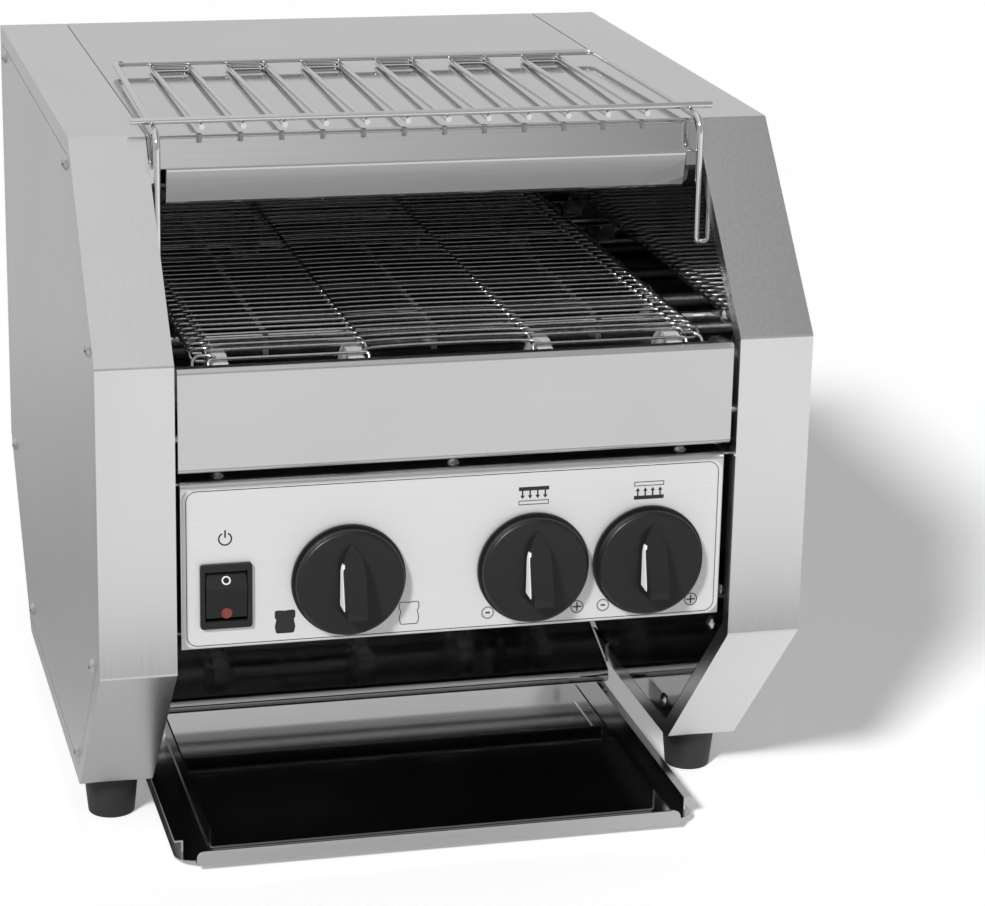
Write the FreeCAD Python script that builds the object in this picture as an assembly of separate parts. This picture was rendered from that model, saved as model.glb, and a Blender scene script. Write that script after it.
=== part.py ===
import FreeCAD, Part
import math
import os

# Countertop conveyor toaster: two hollow side cases, a wire belt between them,
# a control panel under the belt and a toast tray underneath.
# Millimetres. While it is built, x is zero in the middle and grows to the right,
# y is zero at the vertical front faces and grows to the back, and z is zero at the
# bottom of the side cases. At the end everything moves so that the origin is the
# middle of the footprint, on the surface that the feet stand on.

# Driving sizes of the two side cases
overall_width = 368.0
case_width = 39.0
case_height = 354.0
case_depth = 424.0
top_front_y = 89.0
front_top_z = 258.0
front_bottom_z = 97.0
sole_front_y = 95.0
back_kink_run = 92.0
sole_back_y = case_depth - back_kink_run
back_kink_z = 99.0
sheet = 1.0
bend_radius = 2.0
sole_corner_radius = 7.0
outer_flange = 10.0
inner_flange = 9.0
half_width = overall_width / 2
wall_x = half_width - case_width
panel_seam = 0.4
joggle_overlap = 6.0
cover_seam = 0.5

# Domed cross-head screws
screw_head_radius = 4.0
screw_head_height = 2.4
screw_shank_radius = 2.0
screw_shank_length = 6.0
screw_recess = 1.2
screw_recess_width = 1.1
side_screw_inset = 15.0
side_screw_end_gap = 27.6
wall_screw_back_gap = 10.0
side_screw_spots = [
    (97.8, case_height - side_screw_inset),
    (case_depth - side_screw_end_gap, case_height - side_screw_inset),
    (case_depth - side_screw_end_gap, back_kink_z),
    (sole_back_y - side_screw_inset, 19.7),
    (101.8, 17.0),
    (27.0, 94.4),
    (18.9, 262.9),
]

wall_screw_spots = [
    (16.3, 117.5),
    (27.9, 93.7),
    (28.9, 262.0),
    (103.0, 20.0),
    (sole_back_y - wall_screw_back_gap, 24.0),
]

# Feet
foot_height = 25.0
foot_top_radius = 15.0
foot_bottom_radius = 12.5
foot_from_front = 117.0
foot_from_back = 115.0
foot_plate_height = 3.0
foot_screw_radius = 2.5
foot_screw_head_radius = 5.0
foot_screw_head_height = 3.0
foot_recess_depth = 6.0
foot_recess_radius = 6.0

# Top cover with the hood that hangs over the bread entry
hood_bend_y = 75.0
hood_bend_drop = 15.0
hood_bend_z = case_height - hood_bend_drop
hood_lip_y = 80.0
hood_lip_drop = 35.0
hood_lip_z = case_height - hood_lip_drop
hood_return = 8.0
hood_notch = 8.0
cover_back_flange = 16.0

# Rear panel
rear_panel_bottom_z = 90.0
rear_panel_inset = 1.0
rear_panel_tab = 12.0
rear_vent_count = 9
rear_vent_width = 5.0
rear_vent_height = 46.0
rear_vent_pitch = 16.0
rear_vent_centre_z = 160.0
vent_round_share = 0.98

# Front cover, the plain strip under the belt's front end
front_cover_y = 4.0
front_cover_top_z = 254.4
front_cover_bottom_z = 200.6
front_cover_side_gap = 2.0
front_cover_return = 7.0
front_cover_side_flange = 16.0
front_cover_screw_z = 217.0

# Control panel, facia and chassis
panel_face_y = 8.6
panel_top_z = 194.7
panel_bottom_z = 106.3
panel_side_gap = 3.5
panel_top_bend = 2.6
panel_bottom_bend = 0.4
panel_ledge = 24.0
panel_side_flange = 22.0
facia_thickness = 0.6
facia_margin = 0.6
facia_corner_radius = 6.0
chassis_depth = 150.0
panel_bottom_flange = 18.0
panel_screw_setback = 11.0
panel_screw_inset = 24.0
panel_screw_x = wall_x - panel_screw_inset

# Rocker switch
switch_inset = 26.0
switch_x = switch_inset - wall_x
switch_z = 135.0
switch_bezel_width = 26.4
switch_bezel_height = 34.2
switch_bezel_proud = 2.2
switch_body_depth = 24.0
switch_body_margin = 1.6
rocker_width = 20.6
rocker_radius = 12.7
rocker_gap = 0.5
rocker_pivot_depth = 6.0
rocker_top_sink = 3.4
rocker_crease_proud = 1.7
rocker_crease_height = 4.2
rocker_thickness = 8.5
rocker_pin_radius = 1.5
rocker_pin_clearance = 0.08
lens_radius = 2.8
lens_proud = 0.5
lens_depth = 2.0
lens_height = 8.6

# Knobs and what they turn
knob_z = 139.5
speed_knob_share = -0.38897
upper_heat_knob_share = 0.27793
lower_heat_knob_share = 0.70138
speed_knob_x = speed_knob_share * wall_x
upper_heat_knob_x = upper_heat_knob_share * wall_x
lower_heat_knob_x = lower_heat_knob_share * wall_x
knob_skirt_share = 0.20345
knob_skirt_radius = knob_skirt_share * wall_x
knob_skirt_thickness = 1.6
knob_face_inset = 1.5
knob_face_radius = knob_skirt_radius - knob_face_inset
knob_height = 7.8
knob_groove_depth = 1.6
knob_groove_width = 0.9
knob_edge_radius = 2.4
knob_standoff = 0.8
grip_half_width = 5.0
grip_base_half_width = 6.6
grip_height = 16.0
grip_up_share = 0.768
grip_down_share = 0.5
grip_reach_up = grip_up_share * knob_face_radius
grip_reach_down = grip_down_share * knob_face_radius
grip_shoulder = 7.0
grip_tip_height = 1.0
grip_crest_height = 8.0
marker_low_z = -11.0
marker_high_z = 12.5
marker_lift = 3.0
marker_wide = 7.4
marker_narrow = 3.2
marker_point = 2.6
marker_inset = 0.8
marker_proud = 0.3
knob_shaft_radius = 3.0
knob_shaft_depth = 7.0
shaft_fit = 0.05
regulator_width = 36.0
regulator_height = 44.0
regulator_depth = 38.0
regulator_neck_radius = 5.0
shaft_in_regulator = 12.0

# Wire belt
belt_wire_radius = 0.9
belt_side_gap = 12.5
belt_width = 2 * (wall_x - belt_side_gap)
belt_lane_count = 3
belt_pitch = 9.6
sprocket_teeth = 13
belt_top_z = 255.0
belt_front_axis_y = 36.0
belt_back_room = 71.2
belt_run_rows = round((case_depth - belt_back_room - belt_front_axis_y) / belt_pitch)
belt_hook_inset = 9.0
belt_hook_share = 0.72
belt_lane_step_share = 0.5
belt_lane_step_run = 3.0

# Shafts, sprockets and bearings
shaft_radius = 5.0
sprocket_clearance = 0.5
sprocket_width = 8.0
sprocket_edge_gap = 14.5
sprocket_lane_gap = 4.83
sprocket_outer_x = belt_width / 2 - sprocket_edge_gap
sprocket_inner_x = belt_width / belt_lane_count / 2 + sprocket_lane_gap
sprocket_hub_radius = 10.0
sprocket_hub_width = 16.0
tooth_gullet_radius = 1.6
bearing_radius = 10.0
bearing_flange_radius = 14.0
bearing_flange = 2.0
bearing_length = 8.0
shaft_past_bearing = 3.0
drive_shaft_past_wall = 27.0
drive_shaft_reach = wall_x + drive_shaft_past_wall

# Belt support
support_rail_width = 3.0
support_rail_height = 12.0
support_rail_front_gap = 28.0
support_rail_back_gap = 27.8
support_gap = 0.3
support_bar_radius = 3.0
support_bar_inset = 18.0

# Heating elements and reflectors
heater_radius = 4.0
heater_pin_radius = 2.0
heater_pin_length = 14.0
upper_heater_count = 5
upper_heater_front_y = 112.0
upper_heater_back_gap = 88.0
upper_heater_drop = 30.0
upper_heater_z = case_height - upper_heater_drop
lower_heater_count = 4
lower_heater_front_y = 104.0
lower_heater_back_gap = 140.0
insulator_radius = 7.0
insulator_length = 8.0
insulator_collar_radius = 9.0
insulator_collar = 2.0
upper_reflector_drop = 14.0
upper_reflector_z = case_height - upper_reflector_drop
upper_reflector_front_y = 94.0
upper_reflector_back_gap = 72.0
upper_reflector_back_y = case_depth - upper_reflector_back_gap
upper_reflector_skirt = 12.0
lower_reflector_z = 222.0
lower_reflector_front_y = 70.0
lower_reflector_back_gap = 106.0
lower_reflector_back_y = case_depth - lower_reflector_back_gap
lower_reflector_lip = 5.0

# Crumb deflector under the belt
deflector_front_y = 34.0
deflector_front_z = 208.0
deflector_back_gap = 124.0
deflector_back_y = case_depth - deflector_back_gap
deflector_back_z = 194.0
deflector_lip = 10.0

# Ramp that brings the toast from behind the belt to the tray
ramp_side_gap = 1.5
ramp_back_gap = 14.0
ramp_back_y = case_depth - ramp_back_gap
ramp_top_drop = 19.0
ramp_top_z = belt_top_z - ramp_top_drop
ramp_nose_y = 204.5
ramp_nose_z = -2.0
ramp_slope = 19.5
ramp_bend_radius = 60.0
ramp_nose_radius = 4.0
ramp_nose_lean = 1.5
ramp_nose_drop = 7.5
ramp_return_radius = 2.0
ramp_return = 16.0
ramp_bracket_leg = 16.0
ramp_bracket_length = 40.0

# Crumb tray and toast tray
tray_side_gap = 3.0
tray_half_width = wall_x - tray_side_gap
tray_floor_gap = 4.0
tray_front_y = 26.0
tray_back_gap = 84.0
tray_back_y = case_depth - tray_back_gap
tray_wall_height = 10.0
tray_rim = 3.6
tray_lip_height = 8.0
tray_lip_inset = 10.0
tray_lip_corner = 4.0
tray_corner_radius = 10.0
tray_wall_start_y = 38.0
toast_tray_side_gap = 22.5
toast_tray_half_width = wall_x - toast_tray_side_gap
toast_tray_front_y = 44.0
toast_tray_back_y = 202.0
toast_tray_wall = 12.0
toast_tray_seat = 0.3
toast_ridge_front_y = 134.0
toast_ridge_depth = 17.0
toast_ridge_height = 8.0
tray_rail_front_y = 216.0
tray_rail_back_gap = 94.0
tray_rail_back_y = case_depth - tray_rail_back_gap
tray_rail_height = 11.0
tray_rail_lip = 3.0
tray_rail_gap = 0.3

# Drive
motor_y = 92.0
motor_z = 150.0
gearbox_size = 58.0
gearbox_length = 34.0
motor_can_radius = 26.0
motor_can_length = 62.0
motor_shaft_radius = 4.0
motor_plate_gap = 3.0
drive_plane_gap = 15.0
drive_plane_x = wall_x + drive_plane_gap
drive_sprocket_width = 5.0
chain_pitch = 8.0
drive_sprocket_teeth = 18
motor_sprocket_teeth = 12
chain_width = 6.0
chain_height = 5.0
chain_clearance = 0.3
drive_hub_radius = 9.0
drive_hub_width = 12.0

# Electrical pieces
terminal_x = -60.0
terminal_setback = 32.0
terminal_length = 52.0
terminal_depth = 18.0
terminal_height = 16.0
terminal_ways = 5
terminal_hole_radius = 2.0
gland_inset = 33.0
gland_x = gland_inset - wall_x
gland_z = 124.0
gland_body_radius = 11.0
gland_nut_radius = 13.5
gland_nut_length = 6.0
gland_body_length = 14.0
gland_bore_radius = 4.5
cutout_x = -10.0
cutout_width = 16.0
cutout_depth = 36.0
cutout_height = 12.0

# Wire rack that lies on top and swings forward on two hooks in the inner walls
rack_frame_radius = 1.75
rack_bar_radius = 1.5
rack_pivot_y = 70.0
rack_pivot_drop = 62.0
rack_pivot_z = case_height - rack_pivot_drop
rack_leg_gap = 3.0
rack_leg_x = wall_x - rack_leg_gap
rack_back_side_gap = 7.6
rack_back_x = wall_x - rack_back_side_gap
rack_hook_reach = 2.4
rack_hook_radius = 3.0
rack_leg_radius = 9.0
rack_corner_radius = 5.0
rack_back_gap = 166.0
rack_back_y = case_depth - rack_back_gap
rack_front_y = 86.0
rack_rail_past_wall = 8.0
rack_front_half = wall_x + rack_rail_past_wall
rack_bar_count = 12
rack_bar_side_gap = 27.8
rack_bar_reach = wall_x - rack_bar_side_gap
rack_bar_front_y = 83.2
rack_bar_past_frame = 3.0
rack_bar_back_y = rack_back_y + rack_bar_past_frame
rack_turn_radius = 4.0
rack_rest_gap = 0.3
rack_rail_lift = 2.4
rack_pivot_clearance = 0.1

# Worked-out places
belt_radius = sprocket_teeth * belt_pitch / (2 * math.pi)
belt_axis_z = belt_top_z - belt_radius
belt_rear_axis_y = belt_front_axis_y + belt_run_rows * belt_pitch
belt_rows = 2 * belt_run_rows + sprocket_teeth
sprocket_radius = belt_radius - belt_wire_radius - sprocket_clearance
lower_heater_z = belt_axis_z
support_rail_front_y = belt_front_axis_y + support_rail_front_gap
support_rail_back_y = belt_rear_axis_y - support_rail_back_gap
upper_heater_run = case_depth - upper_heater_back_gap - upper_heater_front_y
upper_heater_pitch = upper_heater_run / (upper_heater_count - 1)
lower_heater_run = case_depth - lower_heater_back_gap - lower_heater_front_y
lower_heater_pitch = lower_heater_run / (lower_heater_count - 1)
tray_floor_z = tray_floor_gap - foot_height
grip_front_y = panel_face_y - facia_thickness - knob_standoff - knob_height - grip_height
middle_y = (grip_front_y + case_depth) / 2
overrun = 2.0
same_place = 0.0001

root_shapes = {}


def case_outline():
    """Corners (y, z, radius) of a side case, from the top front round to the front."""
    return [
        (top_front_y, case_height, bend_radius + sheet),
        (case_depth, case_height, bend_radius + sheet),
        (case_depth, back_kink_z, bend_radius + sheet),
        (sole_back_y, 0.0, sole_corner_radius),
        (sole_front_y, 0.0, sole_corner_radius),
        (0.0, front_bottom_z, bend_radius + sheet),
        (0.0, front_top_z, bend_radius + sheet),
    ]


def inset(corners, distance):
    """The same outline moved inwards by a distance, with its corner radii reduced."""
    area = 0.0
    count = len(corners)
    for i in range(count):
        y0, z0 = corners[i][:2]
        y1, z1 = corners[(i + 1) % count][:2]
        area += y0 * z1 - y1 * z0
    side = 1.0 if area > 0 else -1.0
    lines = []
    for i in range(count):
        y0, z0 = corners[i][:2]
        y1, z1 = corners[(i + 1) % count][:2]
        length = math.hypot(y1 - y0, z1 - z0)
        dy, dz = (y1 - y0) / length, (z1 - z0) / length
        lines.append((y0 - dz * side * distance, z0 + dy * side * distance, dy, dz))
    moved = []
    for i in range(count):
        y0, z0, a0, b0 = lines[i - 1]
        y1, z1, a1, b1 = lines[i]
        along = ((y1 - y0) * b1 - (z1 - z0) * a1) / (a0 * b1 - b0 * a1)
        radius = max(corners[i][2] - distance, 0.0)
        moved.append((y0 + a0 * along, z0 + b0 * along, radius))
    return moved


def vector(x, y, z):
    return FreeCAD.Vector(x, y, z)


def across_x(x):
    return lambda a, b: vector(x, a, b)


def across_y(y):
    return lambda a, b: vector(a, y, b)


def across_z(z):
    return lambda a, b: vector(a, b, z)


def rounded_wire(points, radii, closed):
    """A wire through points in space, with a tangent arc of each radius at its point."""
    count = len(points)
    ends = []
    for i in range(count):
        point, radius = points[i], radii[i]
        inner = closed or 0 < i < count - 1
        if not inner or radius <= 0:
            ends.append((point, None, point))
            continue
        back = (points[i - 1] - point).normalize()
        ahead = (points[(i + 1) % count] - point).normalize()
        half = back.getAngle(ahead) / 2
        run = radius / math.tan(half)
        towards = (back + ahead).normalize()
        centre = point + towards * (radius / math.sin(half))
        ends.append((point + back * run, centre - towards * radius, point + ahead * run))
    edges = []
    for i in range(count):
        start, middle, stop = ends[i]
        if middle is not None:
            edges.append(Part.Arc(start, middle, stop).toShape())
        if i == count - 1 and not closed:
            break
        following = ends[(i + 1) % count][0]
        if not following.isEqual(stop, same_place):
            edges.append(Part.LineSegment(stop, following).toShape())
    return Part.Wire(edges)


def prism(corners, plane, push):
    """A solid from closed corners (a, b, radius) drawn on a plane and pushed along a vector."""
    points = [plane(c[0], c[1]) for c in corners]
    radii = [c[2] if len(c) > 2 else 0.0 for c in corners]
    return Part.Face(rounded_wire(points, radii, True)).extrude(push)


def slab(corners, x0, x1):
    return prism(corners, across_x(x0), vector(x1 - x0, 0, 0))


def block(x0, x1, y0, y1, z0, z1):
    return Part.makeBox(x1 - x0, y1 - y0, z1 - z0, vector(x0, y0, z0))


def rod_x(x0, x1, y, z, radius):
    return Part.makeCylinder(radius, x1 - x0, vector(x0, y, z), vector(1, 0, 0))


def rod_y(y0, y1, x, z, radius):
    return Part.makeCylinder(radius, y1 - y0, vector(x, y0, z), vector(0, 1, 0))


def rod_z(z0, z1, x, y, radius):
    return Part.makeCylinder(radius, z1 - z0, vector(x, y, z0), vector(0, 0, 1))


def folded(path, thickness, radius=bend_radius):
    """Closed corners of a sheet folded along an open path, its thickness on the left."""
    count = len(path)
    normals = []
    for i in range(count - 1):
        a, b = path[i], path[i + 1]
        length = math.hypot(b[0] - a[0], b[1] - a[1])
        normals.append((-(b[1] - a[1]) / length, (b[0] - a[0]) / length))
    near, far = [], []
    for i in range(count):
        a, b = path[i][:2]
        if i in (0, count - 1):
            n = normals[0 if i == 0 else -1]
            near.append((a, b, 0.0))
            far.append((a + n[0] * thickness, b + n[1] * thickness, 0.0))
            continue
        n0, n1 = normals[i - 1], normals[i]
        scale = thickness / (1 + n0[0] * n1[0] + n0[1] * n1[1])
        turn = n0[0] * n1[1] - n0[1] * n1[0]
        inner = path[i][2] if len(path[i]) > 2 else radius
        outer = inner + thickness
        near.append((a, b, outer if turn > 0 else inner))
        far.append((a + (n0[0] + n1[0]) * scale, b + (n0[1] + n1[1]) * scale,
                    inner if turn > 0 else outer))
    return near + far[::-1]


def wire_rod(points, radii, radius):
    """A round wire bent along a path."""
    path = rounded_wire(points, radii, False)
    start, ahead = points[0], points[1] - points[0]
    ring = Part.Wire(Part.makeCircle(radius, start, ahead))
    return path.makePipeShell([ring], True, False, 1)


def mirrored(shape):
    return shape.mirror(vector(0, 0, 0), vector(1, 0, 0))


def both_sides(shape):
    return [shape, mirrored(shape)]


def turned(shape, y, z, angle):
    """A shape turned about an axis along x."""
    copy = shape.copy()
    copy.rotate(vector(0, y, z), vector(1, 0, 0), angle)
    return copy


def domed_screw(length=screw_shank_length):
    """A domed cross-head screw at the origin, its head up and its shank down."""
    head_ball = (screw_head_radius ** 2 + screw_head_height ** 2) / (2 * screw_head_height)
    ball = Part.makeSphere(head_ball, vector(0, 0, screw_head_height - head_ball))
    head = ball.common(rod_z(0, screw_head_height, 0, 0, screw_head_radius))
    screw = head.fuse(rod_z(-length, 0, 0, 0, screw_shank_radius)).removeSplitter()
    reach = screw_head_radius / 2
    floor_z = screw_head_height - screw_recess
    half = screw_recess_width / 2
    slot = block(-reach, reach, -half, half, floor_z, screw_head_height + overrun)
    other = block(-half, half, -reach, reach, floor_z, screw_head_height + overrun)
    return screw.cut(slot.fuse(other))


def placed(shape, x, y, z, facing):
    """A copy of a shape made head up, moved to a place and turned to face a direction."""
    turn = FreeCAD.Rotation(vector(0, 0, 1), facing)
    copy = shape.copy()
    copy.Placement = FreeCAD.Placement(vector(x, y, z), turn)
    return copy


def keep(name, *shapes):
    """Holds the solids of a named piece until everything is written."""
    solids = []
    for shape in shapes:
        solids.extend(shape.Solids)
    root_shapes[name] = solids


# Side cases

def case_shell():
    """The right case's wrapper, with a flange round its inner and its outer side."""
    outer = case_outline()
    bore = inset(outer, sheet)
    wrapper = slab(outer, wall_x, half_width).cut(slab(bore, wall_x - overrun, half_width + overrun))
    inner_ring = slab(bore, wall_x, wall_x + sheet)
    inner_ring = inner_ring.cut(slab(inset(outer, inner_flange), wall_x - overrun, wall_x + overrun))
    outer_ring = slab(bore, half_width - sheet, half_width)
    outer_ring = outer_ring.cut(
        slab(inset(outer, outer_flange), half_width - overrun, half_width + overrun))
    shell = wrapper.fuse([inner_ring, outer_ring]).removeSplitter()
    for y in foot_places():
        shell = shell.cut(rod_z(-overrun, sheet + overrun, foot_x(), y, foot_screw_radius))
    for y, z in side_screw_spots:
        shell = shell.cut(rod_x(half_width - screw_shank_length - overrun, half_width + overrun, y, z,
                                screw_shank_radius))
    return shell


def foot_x():
    return half_width - case_width / 2


def foot_places():
    return [foot_from_front, case_depth - foot_from_back]


def side_panel():
    """The right outer panel: flush in the shell's flange, with its edge stepped in behind."""
    outer = case_outline()
    face = slab(inset(outer, outer_flange + panel_seam), half_width - 2 * sheet, half_width)
    edge = slab(inset(outer, outer_flange - joggle_overlap), half_width - 2 * sheet, half_width - sheet)
    panel = face.fuse(edge).removeSplitter()
    for y, z in side_screw_spots:
        panel = panel.cut(rod_x(half_width - 2 * sheet - overrun, half_width + overrun, y, z,
                                screw_shank_radius))
    return panel


def inner_wall():
    """The right inner wall, with the bearing, heater, hook and motor holes."""
    outer = case_outline()
    face = slab(inset(outer, inner_flange + panel_seam), wall_x, wall_x + 2 * sheet)
    edge = slab(inset(outer, inner_flange - joggle_overlap), wall_x + sheet, wall_x + 2 * sheet)
    wall = face.fuse(edge).removeSplitter()
    holes = []
    for y in (belt_front_axis_y, belt_rear_axis_y):
        holes.append((y, belt_axis_z, bearing_radius))
    for y, z in heater_places():
        holes.append((y, z, insulator_radius))
    holes.append((rack_pivot_y, rack_pivot_z, rack_frame_radius + rack_pivot_clearance))
    for y, z in wall_screw_spots:
        holes.append((y, z, screw_shank_radius))
    for y, z, radius in holes:
        wall = wall.cut(rod_x(wall_x - overrun, wall_x + 2 * sheet + overrun, y, z, radius))
    return wall


def motor_hole():
    return rod_x(wall_x - overrun, wall_x + 2 * sheet + overrun, motor_y, motor_z,
                 motor_shaft_radius + motor_plate_gap)


def make_cases():
    shell, panel, wall = case_shell(), side_panel(), inner_wall()
    keep("right_case_shell", shell)
    keep("left_case_shell", mirrored(shell))
    keep("right_side_panel", panel)
    keep("left_side_panel", mirrored(panel))
    keep("right_inner_wall", wall.cut(motor_hole()))
    keep("left_inner_wall", mirrored(wall))
    screw = domed_screw()
    screws = [placed(screw, half_width, y, z, vector(1, 0, 0)) for y, z in side_screw_spots]
    keep("side_panel_screws", *screws, *[mirrored(s) for s in screws])
    screws = [placed(screw, wall_x, y, z, vector(-1, 0, 0)) for y, z in wall_screw_spots]
    keep("wall_screws", *screws, *[mirrored(s) for s in screws])


# Feet

def foot():
    """A rubber foot under the sole, with a recess for its screw head."""
    cone = Part.makeCone(foot_bottom_radius, foot_top_radius, foot_height, vector(0, 0, -foot_height))
    recess = rod_z(-foot_height - overrun, -foot_height + foot_recess_depth, 0, 0, foot_recess_radius)
    return cone.cut(recess).cut(rod_z(-foot_height, overrun, 0, 0, foot_screw_radius))


def foot_screw():
    head_bottom = foot_recess_depth - foot_screw_head_height - foot_height
    head = rod_z(head_bottom, head_bottom + foot_screw_head_height, 0, 0, foot_screw_head_radius)
    nut_top = sheet + foot_plate_height
    shank = rod_z(head_bottom, nut_top, 0, 0, foot_screw_radius)
    nut = rod_z(sheet, nut_top, 0, 0, foot_screw_head_radius)
    return head.fuse([shank, nut]).removeSplitter()


def make_feet():
    feet, screws = [], []
    for side in (-1, 1):
        for y in foot_places():
            feet.append(placed(foot(), side * foot_x(), y, 0, vector(0, 0, 1)))
            screws.append(placed(foot_screw(), side * foot_x(), y, 0, vector(0, 0, 1)))
    keep("feet", *feet)
    keep("foot_screws", *screws)


# Covers between the cases

def top_cover():
    """Top sheet, its back flange and the hood, whose lower face is narrower."""
    path = [
        (hood_lip_y + hood_return, hood_lip_z),
        (hood_lip_y, hood_lip_z),
        (hood_bend_y, hood_bend_z),
        (top_front_y, case_height),
        (case_depth, case_height),
        (case_depth, case_height - cover_back_flange),
    ]
    half = wall_x - cover_seam
    cover = slab(folded(path[::-1], sheet), -half, half)
    low = hood_lip_z - overrun
    notch = block(half - hood_notch, half + overrun, hood_bend_y - overrun,
                  hood_lip_y + hood_return + overrun, low, hood_bend_z)
    return cover.cut(notch).cut(mirrored(notch))


def rear_panel():
    """Rear sheet between the cases: upright, then slanted in below the kink."""
    kink_run = (case_depth - sole_back_y) * (back_kink_z - rear_panel_bottom_z) / back_kink_z
    back = case_depth - rear_panel_inset
    top = case_height - cover_back_flange - panel_seam
    path = [
        (back, top),
        (back, back_kink_z),
        (back - kink_run, rear_panel_bottom_z),
    ]
    panel = slab(folded(path[::-1], sheet), -wall_x, wall_x)
    first = -(rear_vent_count - 1) * rear_vent_pitch / 2
    low, high = rear_vent_centre_z - rear_vent_height / 2, rear_vent_centre_z + rear_vent_height / 2
    radius = rear_vent_width / 2
    for i in range(rear_vent_count):
        x = first + i * rear_vent_pitch
        corners = [(x - radius, low, radius), (x + radius, low, radius),
                   (x + radius, high, radius), (x - radius, high, radius)]
        corners = [(a, b, r * vent_round_share) for a, b, r in corners]
        panel = panel.cut(prism(corners, across_y(back - 2 * sheet), vector(0, 3 * sheet, 0)))
    hole = rod_y(back - 2 * sheet, back + sheet, gland_x, gland_z, gland_body_radius)
    return panel.cut(hole)


def rear_screws():
    """Screws along the upright edges of the rear panel."""
    screw = domed_screw()
    back = case_depth - rear_panel_inset
    places = []
    for z in (back_kink_z + rear_panel_tab, case_height / 2 + rear_panel_tab,
              case_height - cover_back_flange - rear_panel_tab):
        for side in (-1, 1):
            places.append(placed(screw, side * (wall_x - rear_panel_tab), back, z, vector(0, 1, 0)))
    return places


def front_cover():
    """The plain strip in front of the belt, folded back at its top, bottom and ends."""
    back = front_cover_y + front_cover_return
    path = [
        (back, front_cover_top_z),
        (front_cover_y, front_cover_top_z),
        (front_cover_y, front_cover_bottom_z),
        (back, front_cover_bottom_z),
    ]
    half = wall_x - front_cover_side_gap
    strip = slab(folded(path, sheet), -half, half)
    flange = block(half - sheet, half, front_cover_y + sheet, front_cover_y + front_cover_side_flange,
                   front_cover_bottom_z + sheet, front_cover_top_z - sheet)
    cover = strip.fuse([flange, mirrored(flange)]).removeSplitter()
    screw_y = front_cover_y + front_cover_side_flange / 2
    hole = rod_x(half - sheet - overrun, half + overrun, screw_y, front_cover_screw_z,
                 screw_shank_radius)
    return cover.cut(hole).cut(mirrored(hole))


def front_cover_screws():
    """One screw through each end flange, with its spacer against the inner wall."""
    half = wall_x - front_cover_side_gap
    screw_y = front_cover_y + front_cover_side_flange / 2
    screw = placed(domed_screw(front_cover_side_gap + sheet), half - sheet, screw_y,
                   front_cover_screw_z, vector(-1, 0, 0))
    return both_sides(screw)


def make_covers():
    keep("top_cover", top_cover())
    panel = rear_panel()
    screws = rear_screws()
    for screw in screws:
        panel = panel.cut(screw)
    keep("rear_panel", panel)
    keep("rear_panel_screws", *screws)
    keep("front_cover", front_cover())
    keep("front_cover_screws", *front_cover_screws())


# Control panel

def knob_places():
    return {"speed": speed_knob_x, "upper_heat": upper_heat_knob_x, "lower_heat": lower_heat_knob_x}


def front_holes(y0, y1):
    """The holes for the knob shafts and the switch body, as one cutter."""
    cutters = [rod_y(y0, y1, x, knob_z, regulator_neck_radius + shaft_fit) for x in knob_places().values()]
    half_w = switch_bezel_width / 2 - switch_body_margin
    half_h = switch_bezel_height / 2 - switch_body_margin
    cutters.append(block(switch_x - half_w, switch_x + half_w, y0, y1,
                         switch_z - half_h, switch_z + half_h))
    return Part.makeCompound(cutters)


def control_panel():
    """Panel sheet with a level ledge at its top, a bottom flange and folded ends."""
    half = wall_x - panel_side_gap
    path = [
        (panel_face_y + panel_ledge, panel_top_z),
        (panel_face_y, panel_top_z, panel_top_bend),
        (panel_face_y, panel_bottom_z, panel_bottom_bend),
        (panel_face_y + panel_bottom_flange, panel_bottom_z),
    ]
    face = slab(folded(path, sheet), -half, half)
    end = block(half - sheet, half, panel_face_y + sheet, panel_face_y + panel_side_flange,
                panel_bottom_z + sheet, chassis_top_z() - sheet)
    panel = face.fuse([end, mirrored(end)]).removeSplitter().cut(panel_screw_holes())
    return panel.cut(front_holes(panel_face_y - overrun, panel_face_y + sheet + overrun))


def chassis_top_z():
    """Underside of the chassis top, which lies against the ledge."""
    return panel_top_z - 2 * sheet


def panel_screw_places():
    return [(x, panel_face_y + panel_screw_setback) for x in (-panel_screw_x, 0, panel_screw_x)]


def panel_screw_holes():
    """Upright holes through the ledge and the chassis top, as one cutter."""
    low, high = chassis_top_z() - overrun, panel_top_z + overrun
    return Part.makeCompound([rod_z(low, high, x, y, screw_shank_radius) for x, y in panel_screw_places()])


def facia_corners():
    half = wall_x - panel_side_gap - facia_margin
    low = panel_bottom_z + panel_bottom_bend + sheet
    high = panel_top_z - panel_top_bend - sheet
    radius = facia_corner_radius
    return [(-half, low, radius), (half, low, radius), (half, high, radius), (-half, high, radius)]


def facia_plate():
    """Thin printed plate on the control panel, with rounded corners."""
    plate = prism(facia_corners(), across_y(panel_face_y), vector(0, -facia_thickness, 0))
    return plate.cut(front_holes(panel_face_y - overrun, panel_face_y + overrun))


def control_chassis():
    """Box under the belt that holds the controls and the motor, open to the front."""
    front = panel_face_y + sheet
    path = [
        (front + panel_top_bend, chassis_top_z()),
        (chassis_depth, chassis_top_z()),
        (chassis_depth, panel_bottom_z + sheet),
        (front + panel_side_flange, panel_bottom_z + sheet),
    ]
    return slab(folded(path, sheet), -wall_x, wall_x).cut(panel_screw_holes())


def make_control_panel():
    keep("control_panel", control_panel())
    keep("facia_plate", facia_plate())
    keep("control_chassis", control_chassis())
    screw = domed_screw()
    keep("control_panel_screws",
         *[placed(screw, x, y, panel_top_z, vector(0, 0, 1)) for x, y in panel_screw_places()])


# Rocker switch

def facia_front():
    return panel_face_y - facia_thickness


def bezel_front():
    return facia_front() - switch_bezel_proud


def rocker_pivot_y():
    return bezel_front() + rocker_pivot_depth


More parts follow.
